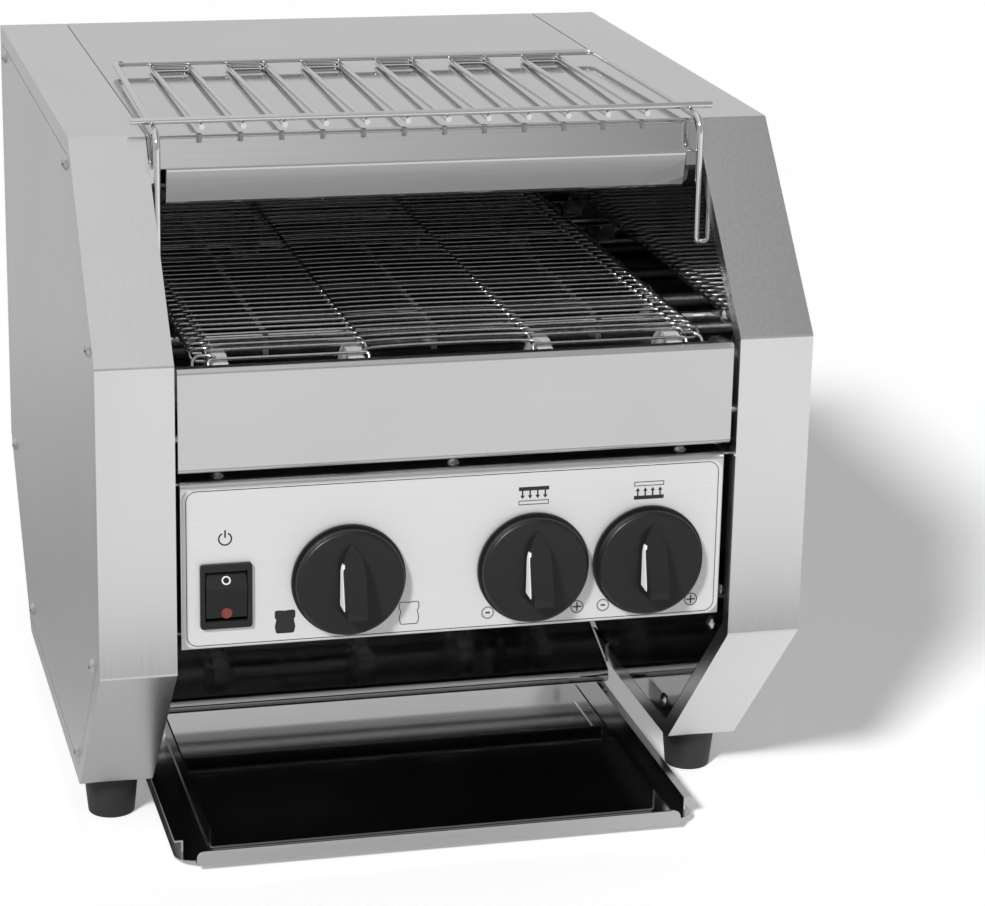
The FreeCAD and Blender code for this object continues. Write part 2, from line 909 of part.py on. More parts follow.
def rocker_solid():
    """Rocker with its upper half pressed in, rounded at its ends about its pin."""
    pivot = rocker_pivot_y()
    front = bezel_front()
    crease_y = front - rocker_crease_proud
    crease_z = switch_z + rocker_crease_height
    top_z = switch_z + rocker_radius
    corners = [
        (front + rocker_top_sink, top_z),
        (crease_y, crease_z, rocker_gap),
        (front, switch_z - rocker_radius),
        (front + rocker_thickness, switch_z - rocker_radius),
        (front + rocker_thickness, top_z),
    ]
    half_w = rocker_width / 2
    body = slab(corners, switch_x - half_w, switch_x + half_w)
    body = body.common(rod_x(switch_x - half_w, switch_x + half_w, pivot, switch_z, rocker_radius))
    pin_reach = half_w + rocker_gap + switch_body_margin / 2
    return body.fuse(rod_x(switch_x - pin_reach, switch_x + pin_reach, pivot, switch_z,
                           rocker_pin_radius)).removeSplitter()


def lens_cylinder(radius, depth, proud):
    """A short cylinder square to the rocker's lower face."""
    run = rocker_crease_height + rocker_radius
    slope = math.atan2(rocker_crease_proud, run)
    y = bezel_front() - rocker_crease_proud * (rocker_radius - lens_height) / run
    outward = vector(0, -math.cos(slope), -math.sin(slope))
    start = vector(switch_x, y, switch_z - lens_height) - outward * depth
    return Part.makeCylinder(radius, depth + proud, start, outward)


def switch_housing():
    """Bezel and body in one, with the well that the rocker tilts in."""
    half_w, half_h = switch_bezel_width / 2, switch_bezel_height / 2
    front = bezel_front()
    radius = switch_body_margin
    corners = [
        (switch_x - half_w, switch_z - half_h, radius),
        (switch_x + half_w, switch_z - half_h, radius),
        (switch_x + half_w, switch_z + half_h, radius),
        (switch_x - half_w, switch_z + half_h, radius),
    ]
    bezel = prism(corners, across_y(facia_front()), vector(0, -switch_bezel_proud, 0))
    body_w, body_h = half_w - switch_body_margin, half_h - switch_body_margin
    body = block(switch_x - body_w, switch_x + body_w, facia_front(), panel_face_y + switch_body_depth,
                 switch_z - body_h, switch_z + body_h)
    well_w, well_h = rocker_width / 2 + rocker_gap, rocker_radius + rocker_gap
    well_back = rocker_pivot_y() + rocker_radius / 2 + rocker_gap
    well = block(switch_x - well_w, switch_x + well_w, front - overrun, well_back,
                 switch_z - well_h, switch_z + well_h)
    pin_reach = well_w + switch_body_margin / 2
    pin_hole = rod_x(switch_x - pin_reach, switch_x + pin_reach, rocker_pivot_y(), switch_z,
                     rocker_pin_radius + rocker_pin_clearance)
    return bezel.fuse(body).removeSplitter().cut(well).cut(pin_hole)


def make_switch():
    lens = lens_cylinder(lens_radius, lens_depth, lens_proud)
    keep("switch_housing", switch_housing())
    keep("switch_rocker", rocker_solid().cut(lens))
    keep("rocker_lens", lens)


# Knobs

def knob_back_y():
    return facia_front() - knob_standoff


def grip_section(x, y, half):
    """Outline of the grip at one height: flat at the bottom and a pointed arch at the top."""
    rise = grip_reach_up - grip_shoulder
    bow = (rise ** 2 + half ** 2) / (2 * half)
    middle_angle = math.asin(rise / bow) / 2
    low, high = knob_z - grip_reach_down, knob_z + grip_shoulder
    arch_x = half - bow + bow * math.cos(middle_angle)
    arch_z = high + bow * math.sin(middle_angle)
    tip = vector(x, y, knob_z + grip_reach_up)
    right, left = vector(x + half, y, high), vector(x - half, y, high)
    low_right, low_left = vector(x + half, y, low), vector(x - half, y, low)
    edges = [
        Part.LineSegment(low_left, low_right).toShape(),
        Part.LineSegment(low_right, right).toShape(),
        Part.Arc(right, vector(x + arch_x, y, arch_z), tip).toShape(),
        Part.Arc(tip, vector(x - arch_x, y, arch_z), left).toShape(),
        Part.LineSegment(left, low_left).toShape(),
    ]
    return Part.Wire(edges)


def disc_front_y():
    return knob_back_y() - knob_height


def knob_grip(x, spare):
    """The raised finger grip, full height below and sloping down to its pointed top."""
    disc = disc_front_y()
    base = disc + knob_edge_radius
    crest = disc - grip_height
    low = grip_section(x, base, grip_base_half_width + spare)
    high = grip_section(x, crest, grip_half_width + spare)
    grip = Part.makeLoft([low, high], True, True)
    far = knob_z + grip_reach_up
    slope = [
        (crest, knob_z - grip_crest_height),
        (disc - grip_tip_height, far),
        (disc - grip_tip_height, far + overrun),
        (crest - overrun, far + overrun),
        (crest - overrun, knob_z - grip_crest_height),
    ]
    return grip.cut(slab(slope, x - knob_face_radius, x + knob_face_radius))


def knob_marker(x):
    """White inlay in the left flank of the grip, wide below and narrow above."""
    near = disc_front_y() - marker_lift
    low, high = knob_z + marker_low_z, knob_z + marker_high_z
    corners = [
        (near, low + marker_point / 2, 0.0),
        (near - marker_wide, low, 0.0),
        (near - marker_wide, low + marker_point, 0.0),
        (near - marker_narrow, high, 0.0),
        (near, high, 0.0),
    ]
    strip = slab(corners, x - knob_face_radius, x)
    inlay = strip.common(knob_grip(x, marker_proud)).cut(knob_grip(x, -marker_inset))
    return inlay


def knob_body(x):
    """Knob: thin skirt, groove, disc with a rounded edge and grip, bored for its shaft."""
    back = knob_back_y()
    skirt_front = back - knob_skirt_thickness
    skirt = rod_y(skirt_front, back, x, knob_z, knob_skirt_radius)
    disc_back = skirt_front - knob_groove_width
    neck = rod_y(disc_back, skirt_front, x, knob_z, knob_face_radius - knob_groove_depth)
    disc_front = disc_front_y()
    disc = rod_y(disc_front, disc_back, x, knob_z, knob_face_radius)
    edge = [e for e in disc.Edges if e.BoundBox.YMax - disc_front < knob_groove_width / 2
            and e.BoundBox.XLength > knob_face_radius]
    disc = disc.makeFillet(knob_edge_radius, edge)
    knob = skirt.fuse([neck, disc, knob_grip(x, 0)]).removeSplitter()
    return knob.cut(rod_y(back - knob_shaft_depth, back + overrun, x, knob_z, knob_shaft_radius))


def knob_shaft(x):
    back = knob_back_y()
    return rod_y(back - knob_shaft_depth, panel_face_y + sheet + shaft_in_regulator, x, knob_z,
                 knob_shaft_radius)


def regulator(x):
    """Control behind a knob: a box with a threaded neck through the panel."""
    front = panel_face_y + sheet
    half_w, half_h = regulator_width / 2, regulator_height / 2
    body = block(x - half_w, x + half_w, front, front + regulator_depth, knob_z - half_h, knob_z + half_h)
    neck_front = panel_face_y - facia_thickness
    neck = rod_y(neck_front, front, x, knob_z, regulator_neck_radius)
    bore = rod_y(neck_front - overrun, front + shaft_in_regulator + overrun, x, knob_z,
                 knob_shaft_radius + shaft_fit)
    return body.fuse(neck).removeSplitter().cut(bore)


def make_knobs():
    places = knob_places()
    for name, x in places.items():
        marker = knob_marker(x)
        knob = knob_body(x).cut(marker)
        keep(name + "_knob", knob)
        keep(name + "_knob_marker", marker)
        keep(name + "_shaft", knob_shaft(x))
    keep("speed_control", regulator(places["speed"]))
    keep("heat_regulators", regulator(places["upper_heat"]), regulator(places["lower_heat"]))


# Belt, sprockets and shafts

def belt_point(distance, x):
    """The place on the belt loop at a distance along it, from the top of the front sprocket."""
    run = belt_run_rows * belt_pitch
    bend = math.pi * belt_radius
    distance %= 2 * (run + bend)
    if distance < run:
        return vector(x, belt_front_axis_y + distance, belt_axis_z + belt_radius)
    distance -= run
    if distance < bend:
        angle = distance / belt_radius
        return vector(x, belt_rear_axis_y + belt_radius * math.sin(angle),
                      belt_axis_z + belt_radius * math.cos(angle))
    distance -= bend
    if distance < run:
        return vector(x, belt_rear_axis_y - distance, belt_axis_z - belt_radius)
    angle = (distance - run) / belt_radius
    return vector(x, belt_front_axis_y - belt_radius * math.sin(angle),
                  belt_axis_z - belt_radius * math.cos(angle))


def belt_row(row):
    """One wire across the belt: it steps half a row at each lane and hooks back at both ends."""
    start = row * belt_pitch
    edge = belt_width / 2 - belt_wire_radius
    lane = belt_width / belt_lane_count / 2
    step = belt_pitch * belt_lane_step_share
    hook = belt_pitch * belt_hook_share
    half_run = belt_lane_step_run / 2
    places = [
        (-edge + belt_hook_inset, start - hook),
        (-edge, start - hook),
        (-edge, start),
        (-lane - half_run, start),
        (-lane + half_run, start + step),
        (lane - half_run, start + step),
        (lane + half_run, start),
        (edge, start),
        (edge, start - hook),
        (edge - belt_hook_inset, start - hook),
    ]
    points = [belt_point(distance, x) for x, distance in places]
    return wire_rod(points, [0.0] * len(points), belt_wire_radius)


def sprocket(x, y):
    """A narrow toothed wheel on a hub, running just inside the belt wires."""
    half = sprocket_width / 2
    wheel = rod_x(x - half, x + half, y, belt_axis_z, sprocket_radius)
    for i in range(sprocket_teeth):
        angle = 2 * math.pi * i / sprocket_teeth
        reach = sprocket_radius + tooth_gullet_radius / 2
        wheel = wheel.cut(rod_x(x - half - overrun, x + half + overrun, y + reach * math.sin(angle),
                                belt_axis_z + reach * math.cos(angle), tooth_gullet_radius))
    hub = rod_x(x - sprocket_hub_width / 2, x + sprocket_hub_width / 2, y, belt_axis_z,
                sprocket_hub_radius)
    bore = rod_x(x - sprocket_hub_width, x + sprocket_hub_width, y, belt_axis_z, shaft_radius)
    return wheel.fuse(hub).removeSplitter().cut(bore)


def bearing(y):
    """Flanged bush in the right inner wall."""
    body = rod_x(wall_x, wall_x + bearing_length, y, belt_axis_z, bearing_radius)
    flange = rod_x(wall_x - bearing_flange, wall_x, y, belt_axis_z, bearing_flange_radius)
    bore = rod_x(wall_x - 2 * bearing_flange, wall_x + 2 * bearing_length, y, belt_axis_z,
                 shaft_radius + shaft_fit)
    return flange.fuse(body).removeSplitter().cut(bore)


def belt_supports():
    """Upright strips under the top run, on two cross bars between the inner walls."""
    top = belt_top_z - belt_wire_radius - support_gap
    lane = belt_width / belt_lane_count
    bar_z = top - support_rail_height / 2
    strips = []
    for x in (-lane, 0, lane):
        strips.append(block(x - support_rail_width / 2, x + support_rail_width / 2,
                            support_rail_front_y, support_rail_back_y, top - support_rail_height, top))
    frame = strips[0].fuse(strips[1:])
    for y in (support_rail_front_y + support_bar_inset, support_rail_back_y - support_bar_inset):
        frame = frame.fuse(rod_x(-wall_x, wall_x, y, bar_z, support_bar_radius))
    return frame.removeSplitter()


def make_belt():
    keep("conveyor_belt", *[belt_row(row) for row in range(belt_rows)])
    end = wall_x + bearing_length + shaft_past_bearing
    keep("front_shaft", rod_x(-end, drive_shaft_reach, belt_front_axis_y, belt_axis_z, shaft_radius))
    keep("rear_shaft", rod_x(-end, end, belt_rear_axis_y, belt_axis_z, shaft_radius))
    wheel_x = (-sprocket_outer_x, -sprocket_inner_x, sprocket_inner_x, sprocket_outer_x)
    keep("front_sprockets", *[sprocket(x, belt_front_axis_y) for x in wheel_x])
    keep("rear_sprockets", *[sprocket(x, belt_rear_axis_y) for x in wheel_x])
    bearings = [bearing(y) for y in (belt_front_axis_y, belt_rear_axis_y)]
    keep("shaft_bearings", *bearings, *[mirrored(b) for b in bearings])
    keep("belt_support_rails", belt_supports())


# Heating

def upper_heater_ys():
    return [upper_heater_front_y + i * upper_heater_pitch for i in range(upper_heater_count)]


def lower_heater_ys():
    return [lower_heater_front_y + i * lower_heater_pitch for i in range(lower_heater_count)]


def heater_places():
    upper = [(y, upper_heater_z) for y in upper_heater_ys()]
    return upper + [(y, lower_heater_z) for y in lower_heater_ys()]


def heater(y, z):
    """Tubular element from wall to wall with a terminal pin at each end."""
    end = wall_x + insulator_length
    tube = rod_x(-end, end, y, z, heater_radius)
    return tube.fuse(rod_x(-end - heater_pin_length, end + heater_pin_length, y, z,
                           heater_pin_radius)).removeSplitter()


def insulator(y, z):
    """Ceramic bush in the right inner wall round a heating element."""
    body = rod_x(wall_x, wall_x + insulator_length, y, z, insulator_radius)
    collar = rod_x(wall_x - insulator_collar, wall_x, y, z, insulator_collar_radius)
    bore = rod_x(wall_x - overrun - insulator_collar, wall_x + insulator_length + overrun, y, z,
                 heater_radius)
    return body.fuse(collar).removeSplitter().cut(bore)


def make_heating():
    keep("upper_heaters", *[heater(y, upper_heater_z) for y in upper_heater_ys()])
    keep("lower_heaters", *[heater(y, lower_heater_z) for y in lower_heater_ys()])
    bushes = [insulator(y, z) for y, z in heater_places()]
    keep("heater_insulators", *bushes, *[mirrored(b) for b in bushes])
    upper = folded([
        (upper_reflector_front_y, upper_reflector_z - upper_reflector_skirt),
        (upper_reflector_front_y, upper_reflector_z),
        (upper_reflector_back_y, upper_reflector_z),
        (upper_reflector_back_y, upper_reflector_z - upper_reflector_skirt),
    ], sheet)
    keep("upper_reflector", slab(upper, -wall_x, wall_x))
    lower = folded([
        (lower_reflector_front_y, lower_reflector_z + lower_reflector_lip),
        (lower_reflector_front_y, lower_reflector_z),
        (lower_reflector_back_y, lower_reflector_z),
        (lower_reflector_back_y, lower_reflector_z + lower_reflector_lip),
    ], sheet)
    keep("lower_reflector", slab(lower, -wall_x, wall_x))


# Crumb deflector, toast ramp and trays

def crumb_deflector():
    path = [
        (deflector_front_y, deflector_front_z + deflector_lip / 2),
        (deflector_front_y, deflector_front_z),
        (deflector_back_y, deflector_back_z),
        (deflector_back_y + deflector_lip, deflector_back_z - deflector_lip),
    ]
    return slab(folded(path, sheet), -wall_x, wall_x)


def toast_ramp():
    """Curved sheet from behind the belt down to a rolled nose over the tray."""
    rise = math.tan(math.radians(ramp_slope))
    nose = (ramp_nose_y, ramp_nose_z)
    corner_z = ramp_nose_z + (ramp_back_y - ramp_nose_y) * rise
    path = [
        (ramp_back_y, ramp_top_z),
        (ramp_back_y, corner_z, ramp_bend_radius),
        (nose[0], nose[1], ramp_nose_radius),
        (nose[0] + ramp_nose_lean, nose[1] - ramp_nose_drop, ramp_return_radius),
        (nose[0] + ramp_nose_lean + ramp_return, nose[1] - ramp_nose_drop),
    ]
    half = wall_x - ramp_side_gap
    return slab(folded(path, sheet), -half, half)


def ramp_brackets():
    """Blocks that hold the ramp's upright edges to the inner walls, folded from sheet."""
    half = wall_x - ramp_side_gap
    y = ramp_back_y + sheet
    low = ramp_top_z - ramp_bracket_length
    back = block(half - ramp_bracket_leg, wall_x, y, y + sheet, low, ramp_top_z)
    side = block(wall_x - sheet, wall_x, y + sheet, case_depth - rear_panel_inset - sheet, low, ramp_top_z)
    bracket = back.fuse(side).removeSplitter()
    return both_sides(bracket)


def crumb_tray():
    """Outer pan with rimmed side walls, a low front lip and an open back."""
    floor_top = tray_floor_z + sheet
    inner = tray_half_width - tray_rim
    corner = tray_corner_radius
    floor = prism([(-tray_half_width, tray_front_y + corner / 2, corner),
                   (tray_half_width, tray_front_y + corner / 2, corner),
                   (tray_half_width, tray_back_y), (-tray_half_width, tray_back_y)],
                  across_z(tray_floor_z), vector(0, 0, sheet))
    wall_top = tray_floor_z + tray_wall_height
    wall = block(inner - sheet, inner, tray_wall_start_y, tray_back_y, floor_top, wall_top)
    rim = block(inner, tray_half_width, tray_wall_start_y, tray_back_y, wall_top - sheet, wall_top)
    lip_half = tray_half_width - tray_lip_inset
    lip_base = block(-lip_half, lip_half, tray_front_y, tray_front_y + corner / 2 + sheet,
                     tray_floor_z, floor_top)
    lip_top = tray_floor_z + tray_lip_height
    lip = prism([(-lip_half, floor_top), (lip_half, floor_top), (lip_half, lip_top, tray_lip_corner),
                 (-lip_half, lip_top, tray_lip_corner)], across_y(tray_front_y), vector(0, sheet, 0))
    pan = floor.fuse([wall, mirrored(wall), rim, mirrored(rim), lip_base, lip])
    return pan.removeSplitter()


def toast_tray():
    """Inner tray: a flat channel with a raised ridge across its back part."""
    low = tray_floor_z + sheet + toast_tray_seat
    top = low + toast_tray_wall
    half = toast_tray_half_width
    corners = folded([(-half, top), (-half, low), (half, low), (half, top)], sheet, sheet)
    channel = prism(corners, across_y(toast_tray_front_y),
                    vector(0, toast_tray_back_y - toast_tray_front_y, 0))
    ridge_back = toast_ridge_front_y + toast_ridge_depth
    crest = (toast_ridge_front_y + ridge_back) / 2 + toast_ridge_depth / 4
    ridge = slab([(toast_ridge_front_y, low + sheet), (crest, low + sheet + toast_ridge_height, sheet),
                  (ridge_back, low + sheet)], -half + 2 * sheet, half - 2 * sheet)
    return channel.fuse(ridge).removeSplitter()


def tray_rails():
    """Angle rails under the inner walls that carry the crumb tray's rims."""
    rim_bottom = tray_floor_z + tray_wall_height - sheet
    lip_top = rim_bottom - tray_rail_gap
    upright = block(wall_x - sheet, wall_x, tray_rail_front_y, tray_rail_back_y,
                    lip_top - sheet, tray_rail_height)
    lip = block(wall_x - sheet - tray_rail_lip, wall_x - sheet, tray_rail_front_y, tray_rail_back_y,
                lip_top - sheet, lip_top)
    return both_sides(upright.fuse(lip).removeSplitter())


def make_toast_path():
    keep("crumb_deflector", crumb_deflector())
    keep("toast_ramp", toast_ramp())
    keep("ramp_brackets", *ramp_brackets())
    keep("crumb_tray", crumb_tray())
    keep("toast_tray", toast_tray())
    keep("tray_rails", *tray_rails())


# Drive

def sprocket_pitch_radius(teeth):
    return chain_pitch / (2 * math.sin(math.pi / teeth))


def chain_wheel(teeth, y, z, bore):
    """Chain sprocket in the right case, with a hub towards the wall."""
    radius = sprocket_pitch_radius(teeth) - chain_height / 2 - chain_clearance
    half = drive_sprocket_width / 2
    wheel = rod_x(drive_plane_x - half, drive_plane_x + half, y, z, radius)
    tooth = chain_pitch / 4
    for i in range(teeth):
        angle = 2 * math.pi * i / teeth
        wheel = wheel.cut(rod_x(drive_plane_x - half - overrun, drive_plane_x + half + overrun,
                                y + (radius + tooth / 2) * math.sin(angle),
                                z + (radius + tooth / 2) * math.cos(angle), tooth))
    hub = rod_x(drive_plane_x - drive_hub_width / 2, drive_plane_x + drive_hub_width / 2, y, z,
                drive_hub_radius)
    hole = rod_x(drive_plane_x - drive_hub_width, drive_plane_x + drive_hub_width, y, z, bore)
    return wheel.fuse(hub).removeSplitter().cut(hole)


def chain_loop(offset):
    """Face of the loop that wraps both chain sprockets, a set distance off the pitch line."""
    front = vector(drive_plane_x, belt_front_axis_y, belt_axis_z)
    motor = vector(drive_plane_x, motor_y, motor_z)
    r0 = sprocket_pitch_radius(drive_sprocket_teeth) + offset
    r1 = sprocket_pitch_radius(motor_sprocket_teeth) + offset
    line = motor - front
    length = line.Length
    along = line.normalize()
    side = vector(0, -along.z, along.y)
    lean = math.asin((r0 - r1) / length)
    spots = []
    for sign in (1, -1):
        out = along * math.sin(lean) + side * (sign * math.cos(lean))
        spots.append((front + out * r0, motor + out * r1))
    (a0, a1), (b0, b1) = spots
    edges = [
        Part.LineSegment(a0, a1).toShape(),
        Part.Arc(a1, motor + along * r1, b1).toShape(),
        Part.LineSegment(b1, b0).toShape(),
        Part.Arc(b0, front - along * r0, a0).toShape(),
    ]
    return Part.Face(Part.Wire(edges))


def drive_chain():
    half = chain_height / 2
    band = chain_loop(half).cut(chain_loop(-half))
    band.translate(vector(-chain_width / 2, 0, 0))
    return band.extrude(vector(chain_width, 0, 0))


def gear_motor():
    """Gearbox on the right inner wall with its motor can towards the middle."""
    face = wall_x
    half = gearbox_size / 2
    box = block(face - gearbox_length, face, motor_y - half, motor_y + half, motor_z - half,
                motor_z + half)
    can = rod_x(face - gearbox_length - motor_can_length, face - gearbox_length, motor_y, motor_z,
                motor_can_radius)
    bore = rod_x(face - gearbox_length / 2, face + overrun, motor_y, motor_z,
                 motor_shaft_radius + shaft_fit)
    return box.fuse(can).removeSplitter().cut(bore)


def make_drive():
    keep("gear_motor", gear_motor())
    shaft_end = drive_plane_x + drive_hub_width / 2 + sheet
    keep("motor_shaft", rod_x(wall_x - gearbox_length / 2 + shaft_fit, shaft_end, motor_y, motor_z,
                              motor_shaft_radius))
    keep("motor_sprocket", chain_wheel(motor_sprocket_teeth, motor_y, motor_z, motor_shaft_radius))
    keep("drive_sprocket", chain_wheel(drive_sprocket_teeth, belt_front_axis_y, belt_axis_z,
                                       shaft_radius))
    keep("drive_chain", drive_chain())


# Electrical pieces

def terminal_y():
    """The middle of the terminal strip and the thermal cut-out, in front of the chassis's back wall."""
    return chassis_depth - terminal_setback


def terminal_block():
    """Screw terminal strip on the chassis floor."""
    z0 = panel_bottom_z + sheet
    half = terminal_length / 2
    middle_y = terminal_y()
    strip = block(terminal_x - half, terminal_x + half, middle_y - terminal_depth / 2,
                  middle_y + terminal_depth / 2, z0, z0 + terminal_height)
    way = terminal_length / terminal_ways
    for i in range(terminal_ways):
        x = terminal_x - half + way * (i + 0.5)
        strip = strip.cut(rod_z(z0 + terminal_height / 2, z0 + terminal_height + overrun, x, middle_y,
                                terminal_hole_radius))
        strip = strip.cut(rod_y(middle_y - terminal_depth, middle_y + terminal_depth, x,
                                z0 + terminal_height / 3, terminal_hole_radius))
    return strip


def thermal_cutout():
    z0 = panel_bottom_z + sheet
    middle_y = terminal_y()
    return block(cutout_x - cutout_width / 2, cutout_x + cutout_width / 2,
                 middle_y - cutout_depth / 2, middle_y + cutout_depth / 2, z0, z0 + cutout_height)


def hexagon_y(radius, x, z, y0, y1):
    points = []
    for i in range(6):
        angle = math.pi * i / 3
        points.append((x + radius * math.cos(angle), z + radius * math.sin(angle)))
    return prism(points, across_y(y0), vector(0, y1 - y0, 0))


def cable_gland():
    """Gland through the rear panel, open for a supply cable."""
    outside = case_depth - rear_panel_inset
    inside = outside - sheet
    body = rod_y(inside - gland_body_length / 2, outside, gland_x, gland_z, gland_body_radius)
    nut = hexagon_y(gland_nut_radius, gland_x, gland_z, inside - gland_nut_length, inside)
    cap_length = rear_panel_inset
    cap = rod_y(outside, outside + cap_length, gland_x, gland_z, gland_nut_radius)
    bore = rod_y(inside - gland_body_length, outside + cap_length + overrun, gland_x, gland_z,
                 gland_bore_radius)
    return body.fuse([nut, cap]).removeSplitter().cut(bore)


def make_electrics():
    keep("terminal_block", terminal_block())
    keep("thermal_cutout", thermal_cutout())
    keep("cable_gland", cable_gland())


# Rack

def rack_frame():
    """One bent wire: hook, leg, side rail, back rail and the same again mirrored."""
    front_axis_z = rack_front_rail_z() - 2 * rack_frame_radius
    back_axis_z = rack_back_rail_z()
    tip_x = wall_x + rack_hook_reach
    half = [
        (vector(-tip_x, rack_pivot_y, rack_pivot_z), 0.0),
        (vector(-rack_leg_x, rack_pivot_y, rack_pivot_z), rack_hook_radius),
        (vector(-rack_leg_x, rack_pivot_y, front_axis_z), rack_leg_radius),
        (vector(-rack_back_x, rack_back_y, back_axis_z), rack_corner_radius),
    ]
    other = [(vector(-p.x, p.y, p.z), r) for p, r in half[::-1]]
    route = half + other
    return wire_rod([p for p, r in route], [r for p, r in route], rack_frame_radius)


def rack_back_rail_z():
    return case_height + rack_rest_gap + 2 * rack_bar_radius + rack_frame_radius


def rack_front_rail_z():
    return rack_back_rail_z() + rack_rail_lift


def rack_hairpins():
    """Pairs of bars, each pair one wire turned round under the back rail."""
    pitch = 2 * rack_bar_reach / (rack_bar_count - 1)
    front_z = rack_front_rail_z() - rack_frame_radius - rack_bar_radius
    back_z = rack_back_rail_z() - rack_frame_radius - rack_bar_radius
    slope = (front_z - back_z) / (rack_back_y - rack_front_y)
    end_z = front_z + slope * (rack_front_y - rack_bar_front_y)
    turn_z = back_z - slope * (rack_bar_back_y - rack_back_y)
    pins = []
    for i in range(rack_bar_count // 2):
        x0 = -rack_bar_reach + 2 * i * pitch
        x1 = x0 + pitch
        points = [
            vector(x0, rack_bar_front_y, end_z), vector(x0, rack_bar_back_y, turn_z),
            vector(x1, rack_bar_back_y, turn_z), vector(x1, rack_bar_front_y, end_z),
        ]
        pins.append(wire_rod(points, [0, rack_turn_radius, rack_turn_radius, 0], rack_bar_radius))
    return pins


def make_rack():
    rail = rod_x(-rack_front_half, rack_front_half, rack_front_y, rack_front_rail_z(), rack_frame_radius)
    keep("bread_rack", rack_frame(), rail, *rack_hairpins())


def write_parts():
    """Moves every piece to the final origin and writes one file for each name."""
    os.makedirs("parts", exist_ok=True)
    shift = vector(0, -middle_y, foot_height)
    for name, solids in root_shapes.items():
        moved = []
        for solid in solids:
            copy = solid.copy()
            copy.translate(shift)
            moved.append(copy)
        shape = moved[0] if len(moved) == 1 else Part.makeCompound(moved)
        shape.exportStep("parts/" + name + ".step")


make_cases()
make_feet()
make_covers()
make_control_panel()
make_switch()
make_knobs()
make_belt()
make_heating()
make_toast_path()
make_drive()
make_electrics()
make_rack()
write_parts()
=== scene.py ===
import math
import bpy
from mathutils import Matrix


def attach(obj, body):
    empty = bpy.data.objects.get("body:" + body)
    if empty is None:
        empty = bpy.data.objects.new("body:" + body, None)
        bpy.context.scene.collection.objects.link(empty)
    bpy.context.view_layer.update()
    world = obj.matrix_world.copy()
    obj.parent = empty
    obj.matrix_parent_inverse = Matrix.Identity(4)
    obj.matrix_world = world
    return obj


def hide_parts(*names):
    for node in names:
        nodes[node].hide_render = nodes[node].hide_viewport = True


bl_info = {
    "name": "Conveyor toaster",
    "version": (1, 0, 0),
    "blender": (4, 5, 0),
    "location": "View3D > Sidebar > Toaster",
    "description": "Dresses the frame of a countertop conveyor toaster",
    "category": "Object",
}

import bmesh
import bpy
from bpy.props import FloatProperty, FloatVectorProperty, IntProperty, PointerProperty
from mathutils import Matrix, Vector

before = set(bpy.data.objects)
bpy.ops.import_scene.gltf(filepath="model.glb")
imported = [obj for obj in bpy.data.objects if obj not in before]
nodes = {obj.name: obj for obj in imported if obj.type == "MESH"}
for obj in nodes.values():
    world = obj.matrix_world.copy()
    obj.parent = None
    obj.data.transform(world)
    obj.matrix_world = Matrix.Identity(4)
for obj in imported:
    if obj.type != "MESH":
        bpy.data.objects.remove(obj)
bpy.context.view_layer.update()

# Places are written in millimetres from the vertical front faces and the bottom of the cases.
MM = 0.001
FRONT_Y = 203.7
FOOT_Z = 25.0
AXIS_Z = Vector((0, 0, 1))
TO_FRONT = Matrix.Rotation(math.radians(90), 4, "X")


def at(x, y, z):
    """A place on the toaster, in the frame's metres."""
    return Vector((x, y - FRONT_Y, z + FOOT_Z)) * MM


# Sizes and colours

class CaseSettings(bpy.types.PropertyGroup):
    colour: FloatVectorProperty(name="Case steel", description="Colour of the satin steel of the cases",
                                subtype="COLOR", size=3, min=0, max=1, default=(0.69, 0.69, 0.692))
    # The cover steel is the case steel made darker: painted shade on the top and front covers.
    cover: FloatVectorProperty(name="Cover steel", description="Colour of the top and front covers",
                               subtype="COLOR", size=3, min=0, max=1, default=(0.60, 0.60, 0.602))
    polished: FloatVectorProperty(name="Polished steel",
                                  description="Colour of the inner walls, trays and ramp",
                                  subtype="COLOR", size=3, min=0, max=1, default=(0.56, 0.56, 0.563))
    edge: FloatProperty(name="Edge softness", description="Width of the softened sheet edges",
                        subtype="DISTANCE", default=0.45 * MM, min=0)


class BeltSettings(bpy.types.PropertyGroup):
    wire: FloatProperty(name="Wire radius", description="Radius of the belt's cross wires",
                        subtype="DISTANCE", default=0.9 * MM, min=0.1 * MM)
    pitch: FloatProperty(name="Pitch", description="Distance from one cross wire to the next",
                         subtype="DISTANCE", default=9.6 * MM, min=1 * MM)
    rows: IntProperty(name="Rows in a run", description="Wires between the two roller axes",
                      default=33, min=4)
    teeth: IntProperty(name="Rows round both rollers", description="Wires on the two half turns",
                       default=13, min=6)
    colour: FloatVectorProperty(name="Belt wire", description="Colour of the belt's wires",
                                subtype="COLOR", size=3, min=0, max=1, default=(0.50, 0.50, 0.505))


class RackSettings(bpy.types.PropertyGroup):
    frame_wire: FloatProperty(name="Frame wire radius", description="Radius of the rack's frame wire",
                              subtype="DISTANCE", default=1.75 * MM, min=0.5 * MM)
    bar_wire: FloatProperty(name="Bar radius", description="Radius of the rack's bars",
                            subtype="DISTANCE", default=1.5 * MM, min=0.5 * MM)
    bars: IntProperty(name="Bars", description="Number of bars from side to side", default=12, min=2)
    colour: FloatVectorProperty(name="Rack wire", description="Colour of the rack's wires",
                                subtype="COLOR", size=3, min=0, max=1, default=(0.68, 0.68, 0.68))


